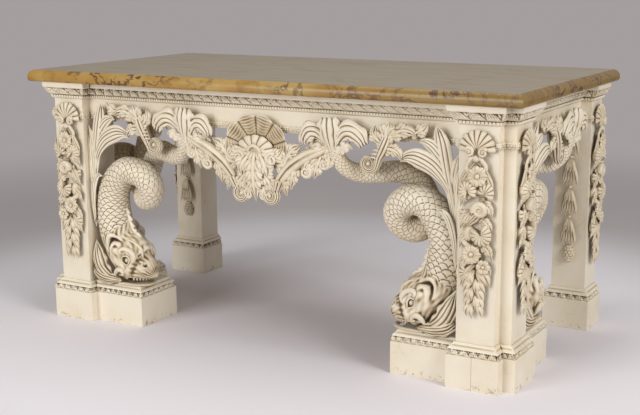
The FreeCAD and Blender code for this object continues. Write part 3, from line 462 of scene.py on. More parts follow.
def base_carving(along, up):
    """A row of leaves along the foot of the moulding, plain above."""
    leaf = leaf_carving(along, (up - BASE_LEAF_FOOT) / BASE_LEAF_TALL, BASE_LEAF_PITCH)
    return within(BASE_LEAF_SPAN, up, BASE_LEAF_RISE * leaf - BASE_LEAF_SINK)


def moulded_run(form, path, way, profile, low, high, out, carving, closed=False, ends=((0, 0), (0, 0))):
    """A moulding along a path in plan, mitred at its corners, its outer side right of the run for way 1."""
    path = [np.array(spot, float) for spot in path]
    if closed:
        path.append(path[0])
    runs = [second - first for first, second in zip(path, path[1:])]
    normals = [way * np.array((run[1], -run[0])) / np.linalg.norm(run) for run in runs]
    before = normals[-1] if closed else np.array(ends[0])
    after = normals[0] if closed else np.array(ends[1])
    joints = [before, *normals, after]
    mitres = [
        first + second if abs(first @ second) < 0.5 else second
        for first, second in zip(joints, joints[1:])
    ]
    spots, aims, reach, so_far = [], [], [], 0.0
    for number, run in enumerate(runs):
        length = np.linalg.norm(run)
        steps = max(2, round(length / CARVING_STEP))
        shares = np.linspace(0, 1, steps + 1)[0 if number == 0 else 1 :, None]
        spots.append(path[number] + shares * run)
        aims.append((1 - shares) * mitres[number] + shares * mitres[number + 1])
        reach.append(so_far + shares[:, 0] * length)
        so_far += length
    spots, aims, reach = np.concatenate(spots), np.concatenate(aims), np.concatenate(reach)
    ups = np.linspace(0, 1, max(8, round((high - low) / ROW_HEIGHT)))
    outs = out * np.interp(ups, [step[0] for step in profile], [step[1] for step in profile])
    stands = outs[None, :] + carving(reach[:, None], ups[None, :])
    stands = np.clip(stands, LEAST_OUT, out)
    stands = np.concatenate([stands, np.zeros((len(reach), 2)), stands[:, :1]], 1)
    levels = low + (high - low) * np.concatenate([ups, [1, 0, 0]])
    plan = spots[:, None, :] + aims[:, None, :] * stands[:, :, None]
    levels = np.broadcast_to(levels[None, :, None], (*stands.shape, 1))
    skin(form, np.concatenate([plan, levels], 2))


rail_face = low_mm("front_rail")[1]
front_face = low_mm("front_left_leg")[1]
leg_inner_x = low_mm("front_right_leg")[0]
leg_inner_y = high_mm("front_right_leg")[1]
half_length = high_mm("front_right_leg")[0]
half_depth = high_mm("back_right_leg")[1]
back_leg_front = low_mm("back_right_leg")[1]
back_leg_inner_x = low_mm("back_right_leg")[0]
side_rail_face = high_mm("right_rail")[0]
LEG_NOTCH = 38
notch_x = half_length - LEG_NOTCH
notch_y = front_face + LEG_NOTCH
half_front_path = [
    (leg_inner_x, rail_face),
    (leg_inner_x, front_face),
    (notch_x, front_face),
    (notch_x, notch_y),
]
front_path = [*spread(half_front_path, -1)[::-1], *half_front_path]
side_path = [
    (notch_x, notch_y),
    (half_length, notch_y),
    (half_length, leg_inner_y),
    (side_rail_face, leg_inner_y),
    (side_rail_face, back_leg_front),
    (half_length, back_leg_front),
    (half_length, half_depth),
]
for label, profile, out, carving in (
    ("cornice", CORNICE_PROFILE, CORNICE_OUT, cornice_carving),
    ("band", BAND_PROFILE, BAND_OUT, band_carving),
):
    low, high = low_mm(f"front_{label}")[2], high_mm(f"front_{label}")[2]
    for side, path, way, ends in (
        ("front", front_path, 1, ((0, -1), (0, -1))),
        ("left", spread(side_path, -1), -1, ((-1, 0), (0, 0))),
        ("right", side_path, 1, ((1, 0), (0, 0))),
    ):
        form = bmesh.new()
        moulded_run(form, path, way, profile, low, high, out, carving, ends=ends)
        node = f"{side}_{label}"
        set_piece(carved_mesh(form, node, MOULDED_GROUND), node)

base_low, base_high = low_mm("front_left_base_moulding")[2], high_mm("front_left_base_moulding")[2]
front_end_x = low_mm("front_right_dolphin_plinth")[0] + BASE_OUT
front_step_y = low_mm("front_right_dolphin_plinth")[1] + BASE_OUT
front_back_y = high_mm("front_right_dolphin_plinth")[1] - BASE_OUT
side_outer_x = high_mm("right_dolphin_plinth")[0] - BASE_OUT
side_inner_x = low_mm("right_dolphin_plinth")[0] + BASE_OUT
side_end_y = high_mm("right_dolphin_plinth")[1] - BASE_OUT
front_ring = [
    (notch_x, front_face),
    (leg_inner_x, front_face),
    (leg_inner_x, front_step_y),
    (front_end_x, front_step_y),
    (front_end_x, front_back_y),
    (side_inner_x, front_back_y),
    (side_inner_x, side_end_y),
    (side_outer_x, side_end_y),
    (side_outer_x, leg_inner_y),
    (half_length, leg_inner_y),
    (half_length, notch_y),
    (notch_x, notch_y),
]
back_run = [
    (half_length, half_depth),
    (half_length, back_leg_front),
    (back_leg_inner_x, back_leg_front),
    (back_leg_inner_x, half_depth),
]
for side, way in (("left", -1), ("right", 1)):
    for end, half_path, closed in (("front", front_ring, True), ("back", back_run, False)):
        form = bmesh.new()
        path = spread(half_path, way)
        moulded_run(form, path, -way, BASE_PROFILE, base_low, base_high, BASE_OUT, base_carving, closed)
        node = f"{end}_{side}_base_moulding"
        set_piece(carved_mesh(form, node, BASE_GROUND, LOW_BASE_GROUND), node)

# Dolphins: four pine carvings, heads down on their plinths and dowelled there. Each body rises beside
# its leg, coils forward once and passes behind itself, cut all over with rows of scales up to the
# smooth head.
OUT = np.array((0.0, 1.0, 0.0))
UP = np.array((0.0, 0.0, 1.0))
FACING = np.array((1.0, -1.0, 1.0))
MIRROR = Matrix.Diagonal((-1, 1, 1, 1))
CARVED_GROUND = 0.36
HEAD_GROUND = 1.10
BODY_SCALES_ROUND = 13
STEPS_PER_SCALE = 10
SCALE_TILT_SHARE = 0.026
SCALE_GROOVE_SHARE = 0.022
SCALE_ROUND = 1.1
SCALE_GROOVE_WIDTH = 0.24
LEAST_SCALED_SIZE = 12
SPINE_STEPS = 24
DOLPHIN_SPINE = [
    (243, -31.5, 167, 1),
    (236, -31.5, 171, 17),
    (205, -31.5, 184, 47),
    (165, -34.5, 202, 67),
    (120, -36, 245, 69),
    (85, -37.5, 290, 64),
    (66, -37.5, 345, 60),
    (60, -36, 400, 57),
    (68, -31.5, 455, 54),
    (95, -25.5, 505, 50),
    (140, -21, 538, 47),
    (195, -24, 530, 45),
    (228, -34.5, 492, 43),
    (215, -51, 450, 41),
    (175, -70.5, 437, 39),
    (150, -96, 465, 37),
    (160, -121.5, 520, 36),
]
SCALES_START = 226
FOOT_LEVEL = low_mm("front_left_dolphin")[2]
LIP_LEVEL = FOOT_LEVEL + 30
EYE_RUN = 112
EYE_TURN = 76
EYE_SIZE = 9.5
GILL_RUN = 206
GILL_TURN = 80
MOUTH_ACROSS = 165
MOUTH_OUT = -32
MOUTH_BACK = 115
CHIN_ACROSS = 128
CHIN_SLOPE = 30
TEETH = 13
CREST_RUNS = range(150, 345, 15)
CREST_HEIGHT = 22
CREST_HALF_THICK = 4.5
CREST_NOTCHES = 5
LEAF_TIP = 0.4
LEAF_SWEEP = 0.10
LEAF_THICK = 0.3
# Each mound or hollow of the head has its height, its place from the snout, its turn from the forehead,
# its length and its width.
HEAD_MOUNDS = [
    (10, 130, 0, 46, 30),
    (5, 100, 0, 14, 14),
    (5, 132, 0, 12, 12),
    (5, 164, 0, 14, 12),
    (-20, EYE_RUN, EYE_TURN, 18, 16),
    (8, 163, 84, 15, 13),
    (8, 142, 108, 30, 18),
    (-3, 118, 114, 26, 8),
    (-4, 68, 46, 16, 26),
    (6, 70, 0, 40, 14),
    (-5, 86, 30, 8, 12),
    (7, 26, 10, 18, 40),
    (-9, 38, 44, 5, 8),
    (6, 40, 66, 12, 12),
    (-3, 62, 86, 8, 22),
    (6, 78, 98, 12, 16),
]


class Spine:
    """A smooth line through points, each with a size of its own, measured in shares of its length."""

    def __init__(self, points, aim=OUT):
        self.aim = aim
        points = np.array(points, float)
        ends = [2 * points[0] - points[1], *points, 2 * points[-1] - points[-2]]
        share = np.linspace(0, 1, SPINE_STEPS, endpoint=False)[:, None]
        line = []
        for first, second, third, fourth in zip(ends, ends[1:], ends[2:], ends[3:]):
            bend = 2 * first - 5 * second + 4 * third - fourth
            swing = 3 * second - first - 3 * third + fourth
            line.append(second + share * ((third - first) + share * (bend + share * swing)) / 2)
        self.line = np.concatenate([*line, points[-1:]])
        steps = np.linalg.norm(np.diff(self.line[:, :3], axis=0), axis=1)
        self.run = np.concatenate([[0], np.cumsum(steps)])
        self.length = self.run[-1]

    def at(self, share):
        """The point and size at a share of the length."""
        reach = np.clip(share, 0, 1) * self.length
        return np.stack([np.interp(reach, self.run, column) for column in self.line.T], -1)

    def way(self, share):
        """The direction of the line at a share of its length."""
        step = 0.004
        share = np.clip(share, step, 1 - step)
        run = (self.at(share + step) - self.at(share - step))[..., :3]
        return run / np.linalg.norm(run, axis=-1, keepdims=True)

    def frame_at(self, share):
        """The point, the direction out of the rail square to the line, and the direction over its back."""
        way = self.way(share)
        out = self.aim - way * (way @ self.aim)[..., None]
        out /= np.linalg.norm(out, axis=-1, keepdims=True)
        return self.at(share), out, np.cross(out, way)


def tube(form, spine, shares, columns, reach, lowest=None):
    """A round form along a spine. Reach gives how far it stands out and over, at each share and turn."""
    turn = np.linspace(0, 2 * np.pi, columns + 1)[None, :]
    line, out, over = spine.frame_at(shares)
    outwards, upwards = reach(shares[:, None], turn, line[:, 3:4])
    spots = line[:, None, :3] + (outwards * np.cos(turn))[..., None] * out[:, None]
    spots = spots + (upwards * np.sin(turn))[..., None] * over[:, None]
    if lowest is not None:
        spots[..., 2] = np.maximum(spots[..., 2], lowest(spots[..., 0]))
    skin(form, spots * FACING)


def bar(form, points, columns=10, flat=1.0, aim=OUT):
    """A plain round bar along points, flattened by a share in the direction of its aim."""
    spine = Spine(points, aim)

    def reach(share, turn, size):
        size = size + 0 * turn
        return size * flat, size

    tube(form, spine, np.linspace(0, 1, max(8, round(spine.length / 3))), columns, reach)


class Scales:
    """A net of overlapping scales along a spine, each about as long as it is wide."""

    def __init__(self, spine, start, around):
        share = np.linspace(0, 1, 2000)
        pitch = 2 * np.pi * np.maximum(spine.at(share)[:, 3], LEAST_SCALED_SIZE) / around
        passed = np.concatenate([[0], np.cumsum(spine.length / (len(share) - 1) / pitch[1:])])
        self.share = share
        self.around = around
        self.passed = passed - np.interp(start / spine.length, share, passed)

    def steps(self):
        """Shares along the spine that fall in with the net."""
        rows = np.arange(0, self.passed[-1] * STEPS_PER_SCALE) / STEPS_PER_SCALE
        return np.interp(rows, self.passed, self.share)

    def relief(self, share, turn):
        """How high the surface stands: round scales, each tilted up to its free end over the next row."""
        rows = 2 * np.interp(share, self.share, self.passed) + 0.16 * np.sin(3 * turn + 11 * share)
        across = turn / (2 * np.pi) * self.around + 0.08 * np.sin(5 * turn + 17 * share)
        rows, across = np.broadcast_arrays(rows, across)
        left, past = np.full(rows.shape, np.inf), np.full(rows.shape, -np.inf)
        for behind in (0, 1, 2):
            row = np.ceil(rows) - behind
            aside = across - row / 2
            aside = 2 * (aside - np.round(aside))
            spare = row + SCALE_ROUND * np.sqrt(np.clip(1 - aside**2, 0, 1)) - rows
            left = np.where(spare >= 0, spare, left)
            past = np.where(spare < 0, np.maximum(past, spare), past)
        tilt = np.clip(1 - left / 2, 0, 1)
        return SCALE_TILT_SHARE * tilt - SCALE_GROOVE_SHARE * bell(past / SCALE_GROOVE_WIDTH)


def mound(run, fold, at, turn, long, wide):
    """A soft mound on the head: how far from the snout, how far turned from the forehead, and its size."""
    return bell((run - at) / long) * bell((fold - turn) / wide)


def dolphin_reach(share, turn, size):
    """The body's own roundness, its scales, and the features of the head."""
    run = share * dolphin_spine.length
    fold = np.abs(np.degrees((turn - np.pi / 2 + np.pi) % (2 * np.pi) - np.pi))
    slit = run - GILL_RUN + 24 * ((fold - GILL_TURN) / 26) ** 2
    gill = 5 * bell((slit + 20) / 10) - 24 * bell(slit / 7.5) + 4 * bell((slit - 18) / 9)
    wrinkles = np.cos(np.radians(11 * fold) + run / 9) * mound(run, fold, 176, 86, 26, 44)
    grown = np.clip((run - SCALES_START + 0.30 * (fold - 90)) / 16, 0, 1)
    lines = np.sin(np.radians(22 * fold) + 2.4 * np.sin(run / 19)) * np.sin(run / 15 + fold / 23)
    face = sum(high * mound(run, fold, *spot) for high, *spot in HEAD_MOUNDS)
    face = face + gill * bell(((fold - GILL_TURN) / 21) ** 2) + 1.3 * wrinkles + 0.55 * lines * (1 - grown)
    reach = size + np.minimum(size / 30, 1) * face + size * grown * body_scales.relief(share, turn)
    return reach, reach


def leaf(form, points, flutes=2, rise=0.42, groove=0.30, curls=False, lobes=0.10, wavy=0.0):
    """A carved leaf along a spine of half widths, with flutes that end in rounds, and a thin rim."""
    spine = Spine(points)
    columns = max(9, 5 * flutes + 1)
    share = np.linspace(0, 1, max(10, round(spine.length / 5)))[:, None]
    side = np.concatenate([np.linspace(-1, 1, columns), np.linspace(1, -1, columns)[1:]])[None, :]
    in_front = (np.arange(side.size) < columns) | (np.arange(side.size) == side.size - 1)
    edge = np.abs(side)
    wave = np.cos if flutes % 2 else np.sin
    ridge = np.sqrt(wave(np.pi * flutes * side / 2) ** 2 + 0.02)
    swept = share * (1 - lobes * (1 - ridge) * share**4) + LEAF_SWEEP * edge * (1 - share)
    line = spine.at(swept)
    way = spine.way(swept)
    if curls:
        middle = (spine.at(0.5) - spine.at(0.0))[:3]
        across = np.broadcast_to(np.cross(middle, OUT), way.shape)
    else:
        across = np.cross(way, OUT)
    across = across / np.linalg.norm(across, axis=-1, keepdims=True)
    face = np.cross(across, way)
    wide = np.maximum(spine.at(share)[..., 3], LEAF_TIP)
    full = wide * (1 + wavy * edge**2 * np.sin(19 * share + 2 * side))
    cut = groove * (0.66 + 0.34 * np.cos(5 * side + 2 + 4 * share)) * (ridge**0.7 - 1)
    front = full * (rise * (1 - side**2) + cut * (1 - edge**6))
    depth = np.where(in_front[None, :], front, -LEAF_THICK * full * (1 - side**2))
    spots = line[..., :3] + across * (side * full)[..., None] + face * depth[..., None]
    skin(form, spots * FACING)


def acanthus(form, points):
    """A broad leaf whose edges break into fluted lobes, in pairs, that lift and curl over at their ends."""
    spine = Spine(points)
    leaf(form, [(*point[:3], 0.92 * point[3]) for point in points], 3, rise=0.60, groove=0.36)
    pairs = max(2, round(spine.length / (1.6 * spine.line[:, 3].max())))
    for number in range(pairs):
        share = 0.02 + 0.74 * number / pairs
        root, way = spine.at(share)[:3], spine.way(share)
        aside = np.cross(way, OUT)
        aside = aside / np.linalg.norm(aside)
        size = spine.at(share + 0.5 / pairs)[3]
        for hand in (-1, 1):
            lobe = [
                (*(root + size * (along * way + hand * over * aside + lift * OUT)), half * size)
                for along, over, lift, half in (
                    (-0.30, 0.12, -0.05, 0.34),
                    (0.35, 0.46, 0.16, 0.62),
                    (0.85, 0.74, 0.24, 0.60),
                    (1.05, 0.98, -0.02, 0.34),
                )
            ]
            leaf(form, lobe, 2, rise=0.55, groove=0.30, lobes=0.16)


def button(form, across, out, level, size, flat=1.0, tall=1.0, steps=12):
    """A round boss, flattened towards the rail or drawn out in height by a share."""
    place = Matrix.Translation(Vector((across, -out, level)) * MM)
    shape = Matrix.Diagonal((size * MM, size * flat * MM, size * tall * MM, 1))
    rows = steps // 2 + 1
    bmesh.ops.create_uvsphere(form, u_segments=steps, v_segments=rows, radius=1, matrix=place @ shape)


def stand_place(name):
    """Where a dolphin group stands: against a leg's inner face, along the front rail or a side rail."""
    way = -1 if name.endswith("left") else 1
    if name.startswith("front"):
        corner = Matrix.Translation(Vector((way * leg_inner_x, rail_face, 0)) * MM)
        return corner @ MIRROR if way > 0 else corner
    corner = Matrix.Translation(Vector((way * side_rail_face, leg_inner_y, 0)) * MM)
    corner = corner @ Matrix.Rotation(math.radians(way * 90), 4, "Z")
    return corner @ MIRROR if way < 0 else corner


def set_carving(mesh, node, place):
    """A copy of a carving, moved to its place, and turned right side out where it is mirrored."""
    copy = mesh.copy()
    copy.transform(place)
    if place.determinant() < 0:
        copy.flip_normals()
    set_piece(copy, node)


def set_on_stands(form, label, ground, low_ground=None):
    """A finished carving at each of the four stands."""
    mesh = carved_mesh(form, label, ground, low_ground)
    for name in stand_names:
        set_carving(mesh, f"{name}_{label}", stand_place(name))


def on_head(run, fold, lift):
    """A spot over the head: how far from the snout, how far turned from the forehead, and how high."""
    share = run / dolphin_spine.length
    line, out, over = dolphin_spine.frame_at(share)
    turn = math.radians(90 - fold)
    reach = dolphin_reach(np.array([[share]]), np.array([[turn]]), line[3:4])[0].item() + lift
    return line[:3] + reach * (math.cos(turn) * out + math.sin(turn) * over)


def chin_level(across):
    """How low the head may reach: the plinth at the throat, the lip at the mouth."""
    return FOOT_LEVEL + (LIP_LEVEL - FOOT_LEVEL) * np.clip((across - CHIN_ACROSS) / CHIN_SLOPE, 0, 1)


def round_mouth(degrees, long, wide):
    """A spot round the mouth, turned from its front."""
    turn = math.radians(degrees)
    return MOUTH_ACROSS + long * math.cos(turn), MOUTH_OUT + wide * math.sin(turn)


def lip(form, level, long, wide, size, flat):
    """A lip bent round the front of the mouth."""
    front = [(*round_mouth(turn, long, wide), level, size) for turn in range(-90, 91, 30)]
    back = [(MOUTH_BACK, MOUTH_OUT + way * wide * 1.02, level, size) for way in (-1, 1)]
    bar(form, [back[0], *front, back[1]], 12, flat, UP)


form = bmesh.new()
dolphin_spine = Spine(DOLPHIN_SPINE)
body_scales = Scales(dolphin_spine, SCALES_START, BODY_SCALES_ROUND)
head_steps = np.linspace(0, SCALES_START / dolphin_spine.length, 100)[:-1]
body_steps = np.concatenate([head_steps, body_scales.steps(), [1.0]])
tube(form, dolphin_spine, body_steps, BODY_SCALES_ROUND * STEPS_PER_SCALE, dolphin_reach, chin_level)
lid_start = (EYE_RUN - 19, 82, 0, 1.5)
lid_end = (EYE_RUN + 20, 78, 0, 1.5)
upper_lid = [lid_start, (EYE_RUN - 8, 66, 2, 3.5), (EYE_RUN + 9, 65, 2, 3.5), lid_end]
lower_lid = [lid_start, (EYE_RUN - 7, 89, 1, 2.5), (EYE_RUN + 8, 89, 1, 2.5), lid_end]
brow = [
    (76, 60, 0, 3),
    (92, 50, 3, 7),
    (112, 47, 5, 9),
    (132, 50, 4, 9),
    (148, 60, 3, 8),
    (150, 73, 3, 5),
    (139, 72, 4, 3),
]
nostril = [(28, 40, 1, 2), (36, 58, 2, 4.5), (46, 52, 1, 4), (48, 38, 0, 2)]
forehead = [(60, 26, 0, 2), (80, 22, 0, 4), (108, 20, 0, 5), (140, 24, 0, 5), (168, 34, 0, 2)]
for way in (-1, 1):
    button(form, *on_head(EYE_RUN, way * EYE_TURN, 1), EYE_SIZE, steps=16)
    for ridge in (upper_lid, lower_lid, brow, nostril, forehead):
        bar(form, [(*on_head(run, way * fold, lift), size) for run, fold, lift, size in ridge])
lip(form, FOOT_LEVEL + 4.5, 58, 45, 9, 0.5)
lip(form, LIP_LEVEL + 7, 53, 45, 7, 1.0)
for number in range(TEETH):
    button(form, *round_mouth(-78 + 13 * number, 51, 43), LIP_LEVEL - 4, 4, tall=1.9, steps=8)


def crest_reach(share, turn, size):
    """A thin notched crest that stands up from the back of the neck."""
    teeth = (1 - cell(share * CREST_NOTCHES)) / 2
    height = size * (0.55 + 0.45 * teeth) * np.sin(np.pi * share) ** 0.4
    return CREST_HALF_THICK + 0 * turn + 0 * share, np.where(np.sin(turn) > 0, height, 6.0)


crest = [(*on_head(run, 0, -4), CREST_HEIGHT) for run in CREST_RUNS]
tube(form, Spine(crest), np.linspace(0, 1, 60), 12, crest_reach)
upper_fin = [(112, 16, 158, 12), (76, 22, 170, 27), (44, 21, 198, 34), (24, 14, 240, 28), (12, 7, 288, 0)]
leaf(form, upper_fin, 5, rise=0.45, groove=0.34, lobes=0.2, wavy=0.10)
lower_fin = [(132, 20, 156, 10), (96, 25, 158, 20), (60, 25, 162, 24), (30, 22, 172, 24), (10, 16, 188, 18)]
leaf(form, lower_fin, 5, rise=0.5, groove=0.36, lobes=0.3, wavy=0.10)
jaw_curl = [
    (104, 22, 166, 3),
    (112, 30, 184, 7),
    (126, 33, 196, 9),
    (142, 31, 192, 8),
    (144, 30, 180, 6),
    (134, 31, 178, 3),
]
bar(form, jaw_curl, 12)
set_on_stands(form, "dolphin", CARVED_GROUND, HEAD_GROUND)

# Tails: each dolphin's tail comes out behind the coil, runs under the rail and turns up in front of it
# into a fin of three carved leaves, screwed to the rail through the band.
TAIL_SCALES_ROUND = 10
TAIL_SPINE = [
    (160, -121.5, 520, 36),
    (190, -112, 575, 35),
    (240, -84, 606, 34),
    (300, -52, 604, 31),
    (355, -26, 603, 28),
    (395, -4, 624, 25),
    (415, 7, 662, 22),
    (423, 14, 692, 18),
]


def tail_reach(share, turn, size):
    """The tail's own roundness with its scales."""
    reach = size * (1 + 1.25 * tail_scales.relief(share, turn))
    return reach, reach


form = bmesh.new()
tail_spine = Spine(TAIL_SPINE)
tail_scales = Scales(tail_spine, 0, TAIL_SCALES_ROUND)
tail_steps = np.concatenate([tail_scales.steps(), [1.0]])
tube(form, tail_spine, tail_steps, TAIL_SCALES_ROUND * STEPS_PER_SCALE, tail_reach)
centre_fin = [
    (420, 14, 656, 14),
    (423, 26, 688, 25),
    (426, 34, 722, 36),
    (428, 37, 754, 40),
    (430, 31, 777, 33),
]
leg_side_fin = [
    (415, 13, 668, 11),
    (402, 23, 706, 21),
    (378, 31, 734, 31),
    (346, 34, 738, 34),
    (320, 32, 718, 29),
    (308, 28, 696, 20),
]
centre_side_fin = [
    (430, 13, 668, 11),
    (446, 23, 702, 21),
    (470, 31, 728, 29),
    (496, 34, 728, 30),
    (514, 32, 708, 25),
    (518, 28, 688, 17),
]
for fin in (centre_fin, leg_side_fin, centre_side_fin):
    leaf(form, fin, 4, rise=0.42, groove=0.27, lobes=0.12, wavy=0.16)
leaf(form, [(423, 14, 690, 12), (408, 22, 724, 19), (397, 26, 744, 20), (387, 26, 762, 14)], 4, lobes=0.2)
leaf(form, [(423, 14, 690, 12), (440, 22, 722, 19), (452, 26, 742, 20), (464, 26, 758, 14)], 4, lobes=0.2)
acanthus(form, [(408, 16, 652, 8), (390, 23, 678, 15), (368, 26, 690, 15), (348, 26, 684, 0)])
acanthus(form, [(436, 16, 652, 8), (456, 23, 674, 14), (478, 26, 680, 14), (496, 26, 670, 0)])
for across, level in ((404, 672), (440, 672), (423, 664)):
    button(form, across, 22, level, 9, 0.8)
set_on_stands(form, "dolphin_tail", CARVED_GROUND)

# Reeds: fluted blades of water plants that grow up between the dolphin and the leg, one tall and upright,
# one bent over towards the middle, and small ones against the leg, screwed to the rail.
REED_GROOVE = 0.23
REED_GROUND = 0.46
TALL_REED = [
    (16, 8, 460, 8),
    (28, 14, 555, 17),
    (46, 18, 645, 26),
    (60, 20, 715, 27),
    (70, 24, 755, 17),
    (74, 30, 773, 0),
]
BENT_REED = [
    (24, 10, 515, 8),
    (40, 18, 590, 17),
    (80, 24, 645, 28),
    (130, 27, 672, 30),
    (168, 27, 674, 20),
    (194, 24, 656, 0),
]
form = bmesh.new()
for points, flutes in (
    (TALL_REED, 4),
    (BENT_REED, 5),
    ([(20, 8, 480, 7), (15, 14, 550, 13), (11, 16, 610, 11), (5, 18, 656, 0)], 3),
    ([(30, 10, 560, 8), (30, 16, 612, 15), (22, 18, 655, 12), (7, 18, 694, 0)], 3),
    ([(34, 10, 600, 9), (50, 18, 660, 18), (82, 24, 704, 20), (112, 26, 722, 14), (132, 26, 718, 0)], 4),
    ([(14, 4, 330, 6), (9, 10, 420, 11), (11, 12, 500, 11), (14, 12, 566, 0)], 3),
    ([(18, 6, 420, 6), (10, 14, 500, 11), (10, 16, 560, 10), (13, 14, 612, 0)], 3),
    ([(14, 12, 350, 6), (18, 22, 435, 10), (32, 28, 496, 12), (52, 31, 522, 10), (72, 30, 520, 0)], 3),
):
    leaf(form, points, flutes, groove=REED_GROOVE)
set_on_stands(form, "reeds", REED_GROUND)

# Scrolls: a fluted stem that falls from a spray of leaves on the rail and winds up into a volute
# beside the tail, with a leafy link back to the reeds, screwed to the rail.
BUSY_GROUND = 0.74
COIL_WINDS_IN = 0.80
COIL_THINS = 0.64
COIL_EYE = 0.26
COIL_FLUTE = 0.30


def coil(form, centre, radius, start, hand, turns, thick, out, lead=(), flutes=0):
    """A strap that winds in to a button and grows thinner. Lead is the way it comes."""
    points = list(lead)
    steps = round(turns * 10)
    for number in range(steps + 1):
        share = number / steps
        turn = math.radians(start) + hand * 2 * math.pi * turns * share
        reach = radius * (1 - COIL_WINDS_IN * share)
        size = thick * (1 - COIL_THINS * share)
        across, level = centre[0] + reach * math.cos(turn), centre[1] + reach * math.sin(turn)
        points.append((across, out + 5 * share, level, size))

    def strap_reach(share, turn, size):
        size = size * (1 - COIL_FLUTE * (flutes > 0) * (1 - np.abs(np.cos(flutes * turn / 2)) ** 0.7))
        return 1.3 * size, size

    tube(form, Spine(points), np.linspace(0, 1, 6 * len(points)), max(16, 7 * flutes), strap_reach)
    button(form, centre[0], out + 7, centre[1], radius * COIL_EYE)


form = bmesh.new()
stem = [(224, 22, 762, 8), (231, 22, 732, 15), (246, 22, 696, 18), (262, 22, 664, 14)]
coil(form, (296, 644), 26, 190, 1, 1.9, 10, 21, stem, 8)
for points in (
    [(242, 20, 704, 11), (262, 27, 718, 19), (276, 30, 740, 17), (270, 33, 764, 0)],
    [(240, 18, 706, 12), (214, 25, 734, 23), (184, 29, 750, 23), (152, 31, 748, 16), (136, 32, 730, 0)],
    [(246, 20, 690, 11), (222, 27, 694, 20), (196, 30, 684, 17), (184, 32, 660, 0)],
    [(160, 18, 742, 10), (132, 25, 750, 19), (112, 28, 764, 16), (100, 30, 779, 0)],
    [(238, 22, 712, 14), (232, 29, 738, 25), (225, 33, 760, 21), (220, 36, 777, 0)],
):
    acanthus(form, points)
for number in range(3):
    shift = 11 * number
    tie = [
        (250 + 0.5 * shift, 34, 684 - shift, 1.5),
        (264 + 0.5 * shift, 40, 688 - shift, 3.2),
        (278 + 0.5 * shift, 35, 686 - shift, 1.5),
    ]
    bar(form, tie, 8)
set_on_stands(form, "scroll", BUSY_GROUND)

# Centre shell: a scallop of two fans, one before the other, over a leafy pendant with small volutes,
# and a leafy arch that runs from the pendant's foot up to each tail, all screwed to the front rail.
SHELL_GROUND = 0.70
FAN_HUB = 0.06
FAN_RIM_CUT = 0.07
FAN_RIPPLES = 12
CENTRE = Matrix.Translation(Vector((0, rail_face, 0)) * MM)


def fan(form, hub, radii, ribs, lowest, back, relief, rib=4.0, tilt=0, ripple=0.0, dished=False):
    """A scallop shell: ribs spread from a hub to a rim cut in rounds, dished towards the hub."""
    share = np.linspace(0, 1, ribs * (12 if ripple else 8) + 1)[:, None]
    turn = np.radians(lowest + (180 - 2 * lowest) * share)
    steps = 64 if ripple else 16
    back_reach = [*np.linspace(1, FAN_HUB, 6)[1:], FAN_HUB]
    reach = np.concatenate([np.linspace(FAN_HUB, 1, steps), back_reach])[None, :]
    in_front = (np.arange(reach.size) < steps) | (np.arange(reach.size) == reach.size - 1)
    round_rib = np.abs(np.sin(np.pi * ribs * share))
    rim = 1 - FAN_RIM_CUT * (1 - round_rib) * reach**4
    dome = 0.5 + 0.5 * np.sin(np.pi * (0.12 + 0.80 * reach))
    dish = 0.30 + 0.70 * reach if dished else dome
    crown = round_rib ** (0.3 if dished else 0.5)
    front = back + relief * dish + rib * (crown - 1) * reach
    rings = np.cos(2 * np.pi * (FAN_RIPPLES * reach + 1.2 * round_rib))
    front = front + ripple * crown * rings * reach
    out = np.where(in_front[None, :], np.maximum(front, back + 1), back + 0 * share)
    flat = np.radians(tilt)
    across, level = radii[0] * reach * rim * np.cos(turn), radii[1] * reach * rim * np.sin(turn)
    spots = np.stack(
        [
            hub[0] + across * np.cos(flat) - level * np.sin(flat),
            np.broadcast_to(out, across.shape),
            hub[1] + across * np.sin(flat) + level * np.cos(flat),
        ],
        -1,
    )
    skin(form, spots * FACING)


form = bmesh.new()
fan(form, (0, 653), (126, 119), 6, -14, 9, 20, rib=5, ripple=0.27, dished=True)
fan(form, (0, 651), (72, 55), 7, -10, 17, 20, rib=6)
hood = [(-24, 36, 648, 4), (-17, 39, 664, 5.5), (0, 40, 672, 6), (17, 39, 664, 5.5), (24, 36, 648, 4)]
bar(form, hood)
for way in (-1, 1):
    for points in (
        [(16, 12, 640, 12), (48, 18, 636, 22), (80, 22, 646, 22), (104, 25, 672, 0)],
        [(60, 12, 622, 10), (86, 19, 612, 19), (108, 22, 620, 17), (122, 24, 644, 0)],
        [(10, 16, 604, 14), (36, 23, 578, 24), (58, 26, 552, 23), (73, 28, 530, 13), (84, 28, 510, 0)],
        [(14, 16, 560, 12), (30, 23, 536, 19), (40, 26, 512, 16), (30, 27, 490, 0)],
        [(8, 20, 650, 12), (28, 28, 632, 25), (45, 32, 602, 27), (48, 33, 562, 0)],
    ):
        acanthus(form, spread(points, way))
    coil(form, (way * 60, 630), 21, 90 - way * 40, way, 1.6, 8, 29)
    coil(form, (way * 27, 514), 17, 90 + way * 30, -way, 1.5, 7, 25)
acanthus(form, [(0, 20, 660, 16), (0, 30, 628, 28), (0, 33, 585, 29), (0, 31, 540, 23), (0, 26, 487, 0)])
set_carving(carved_mesh(form, "shell", SHELL_GROUND), "front_shell", CENTRE)

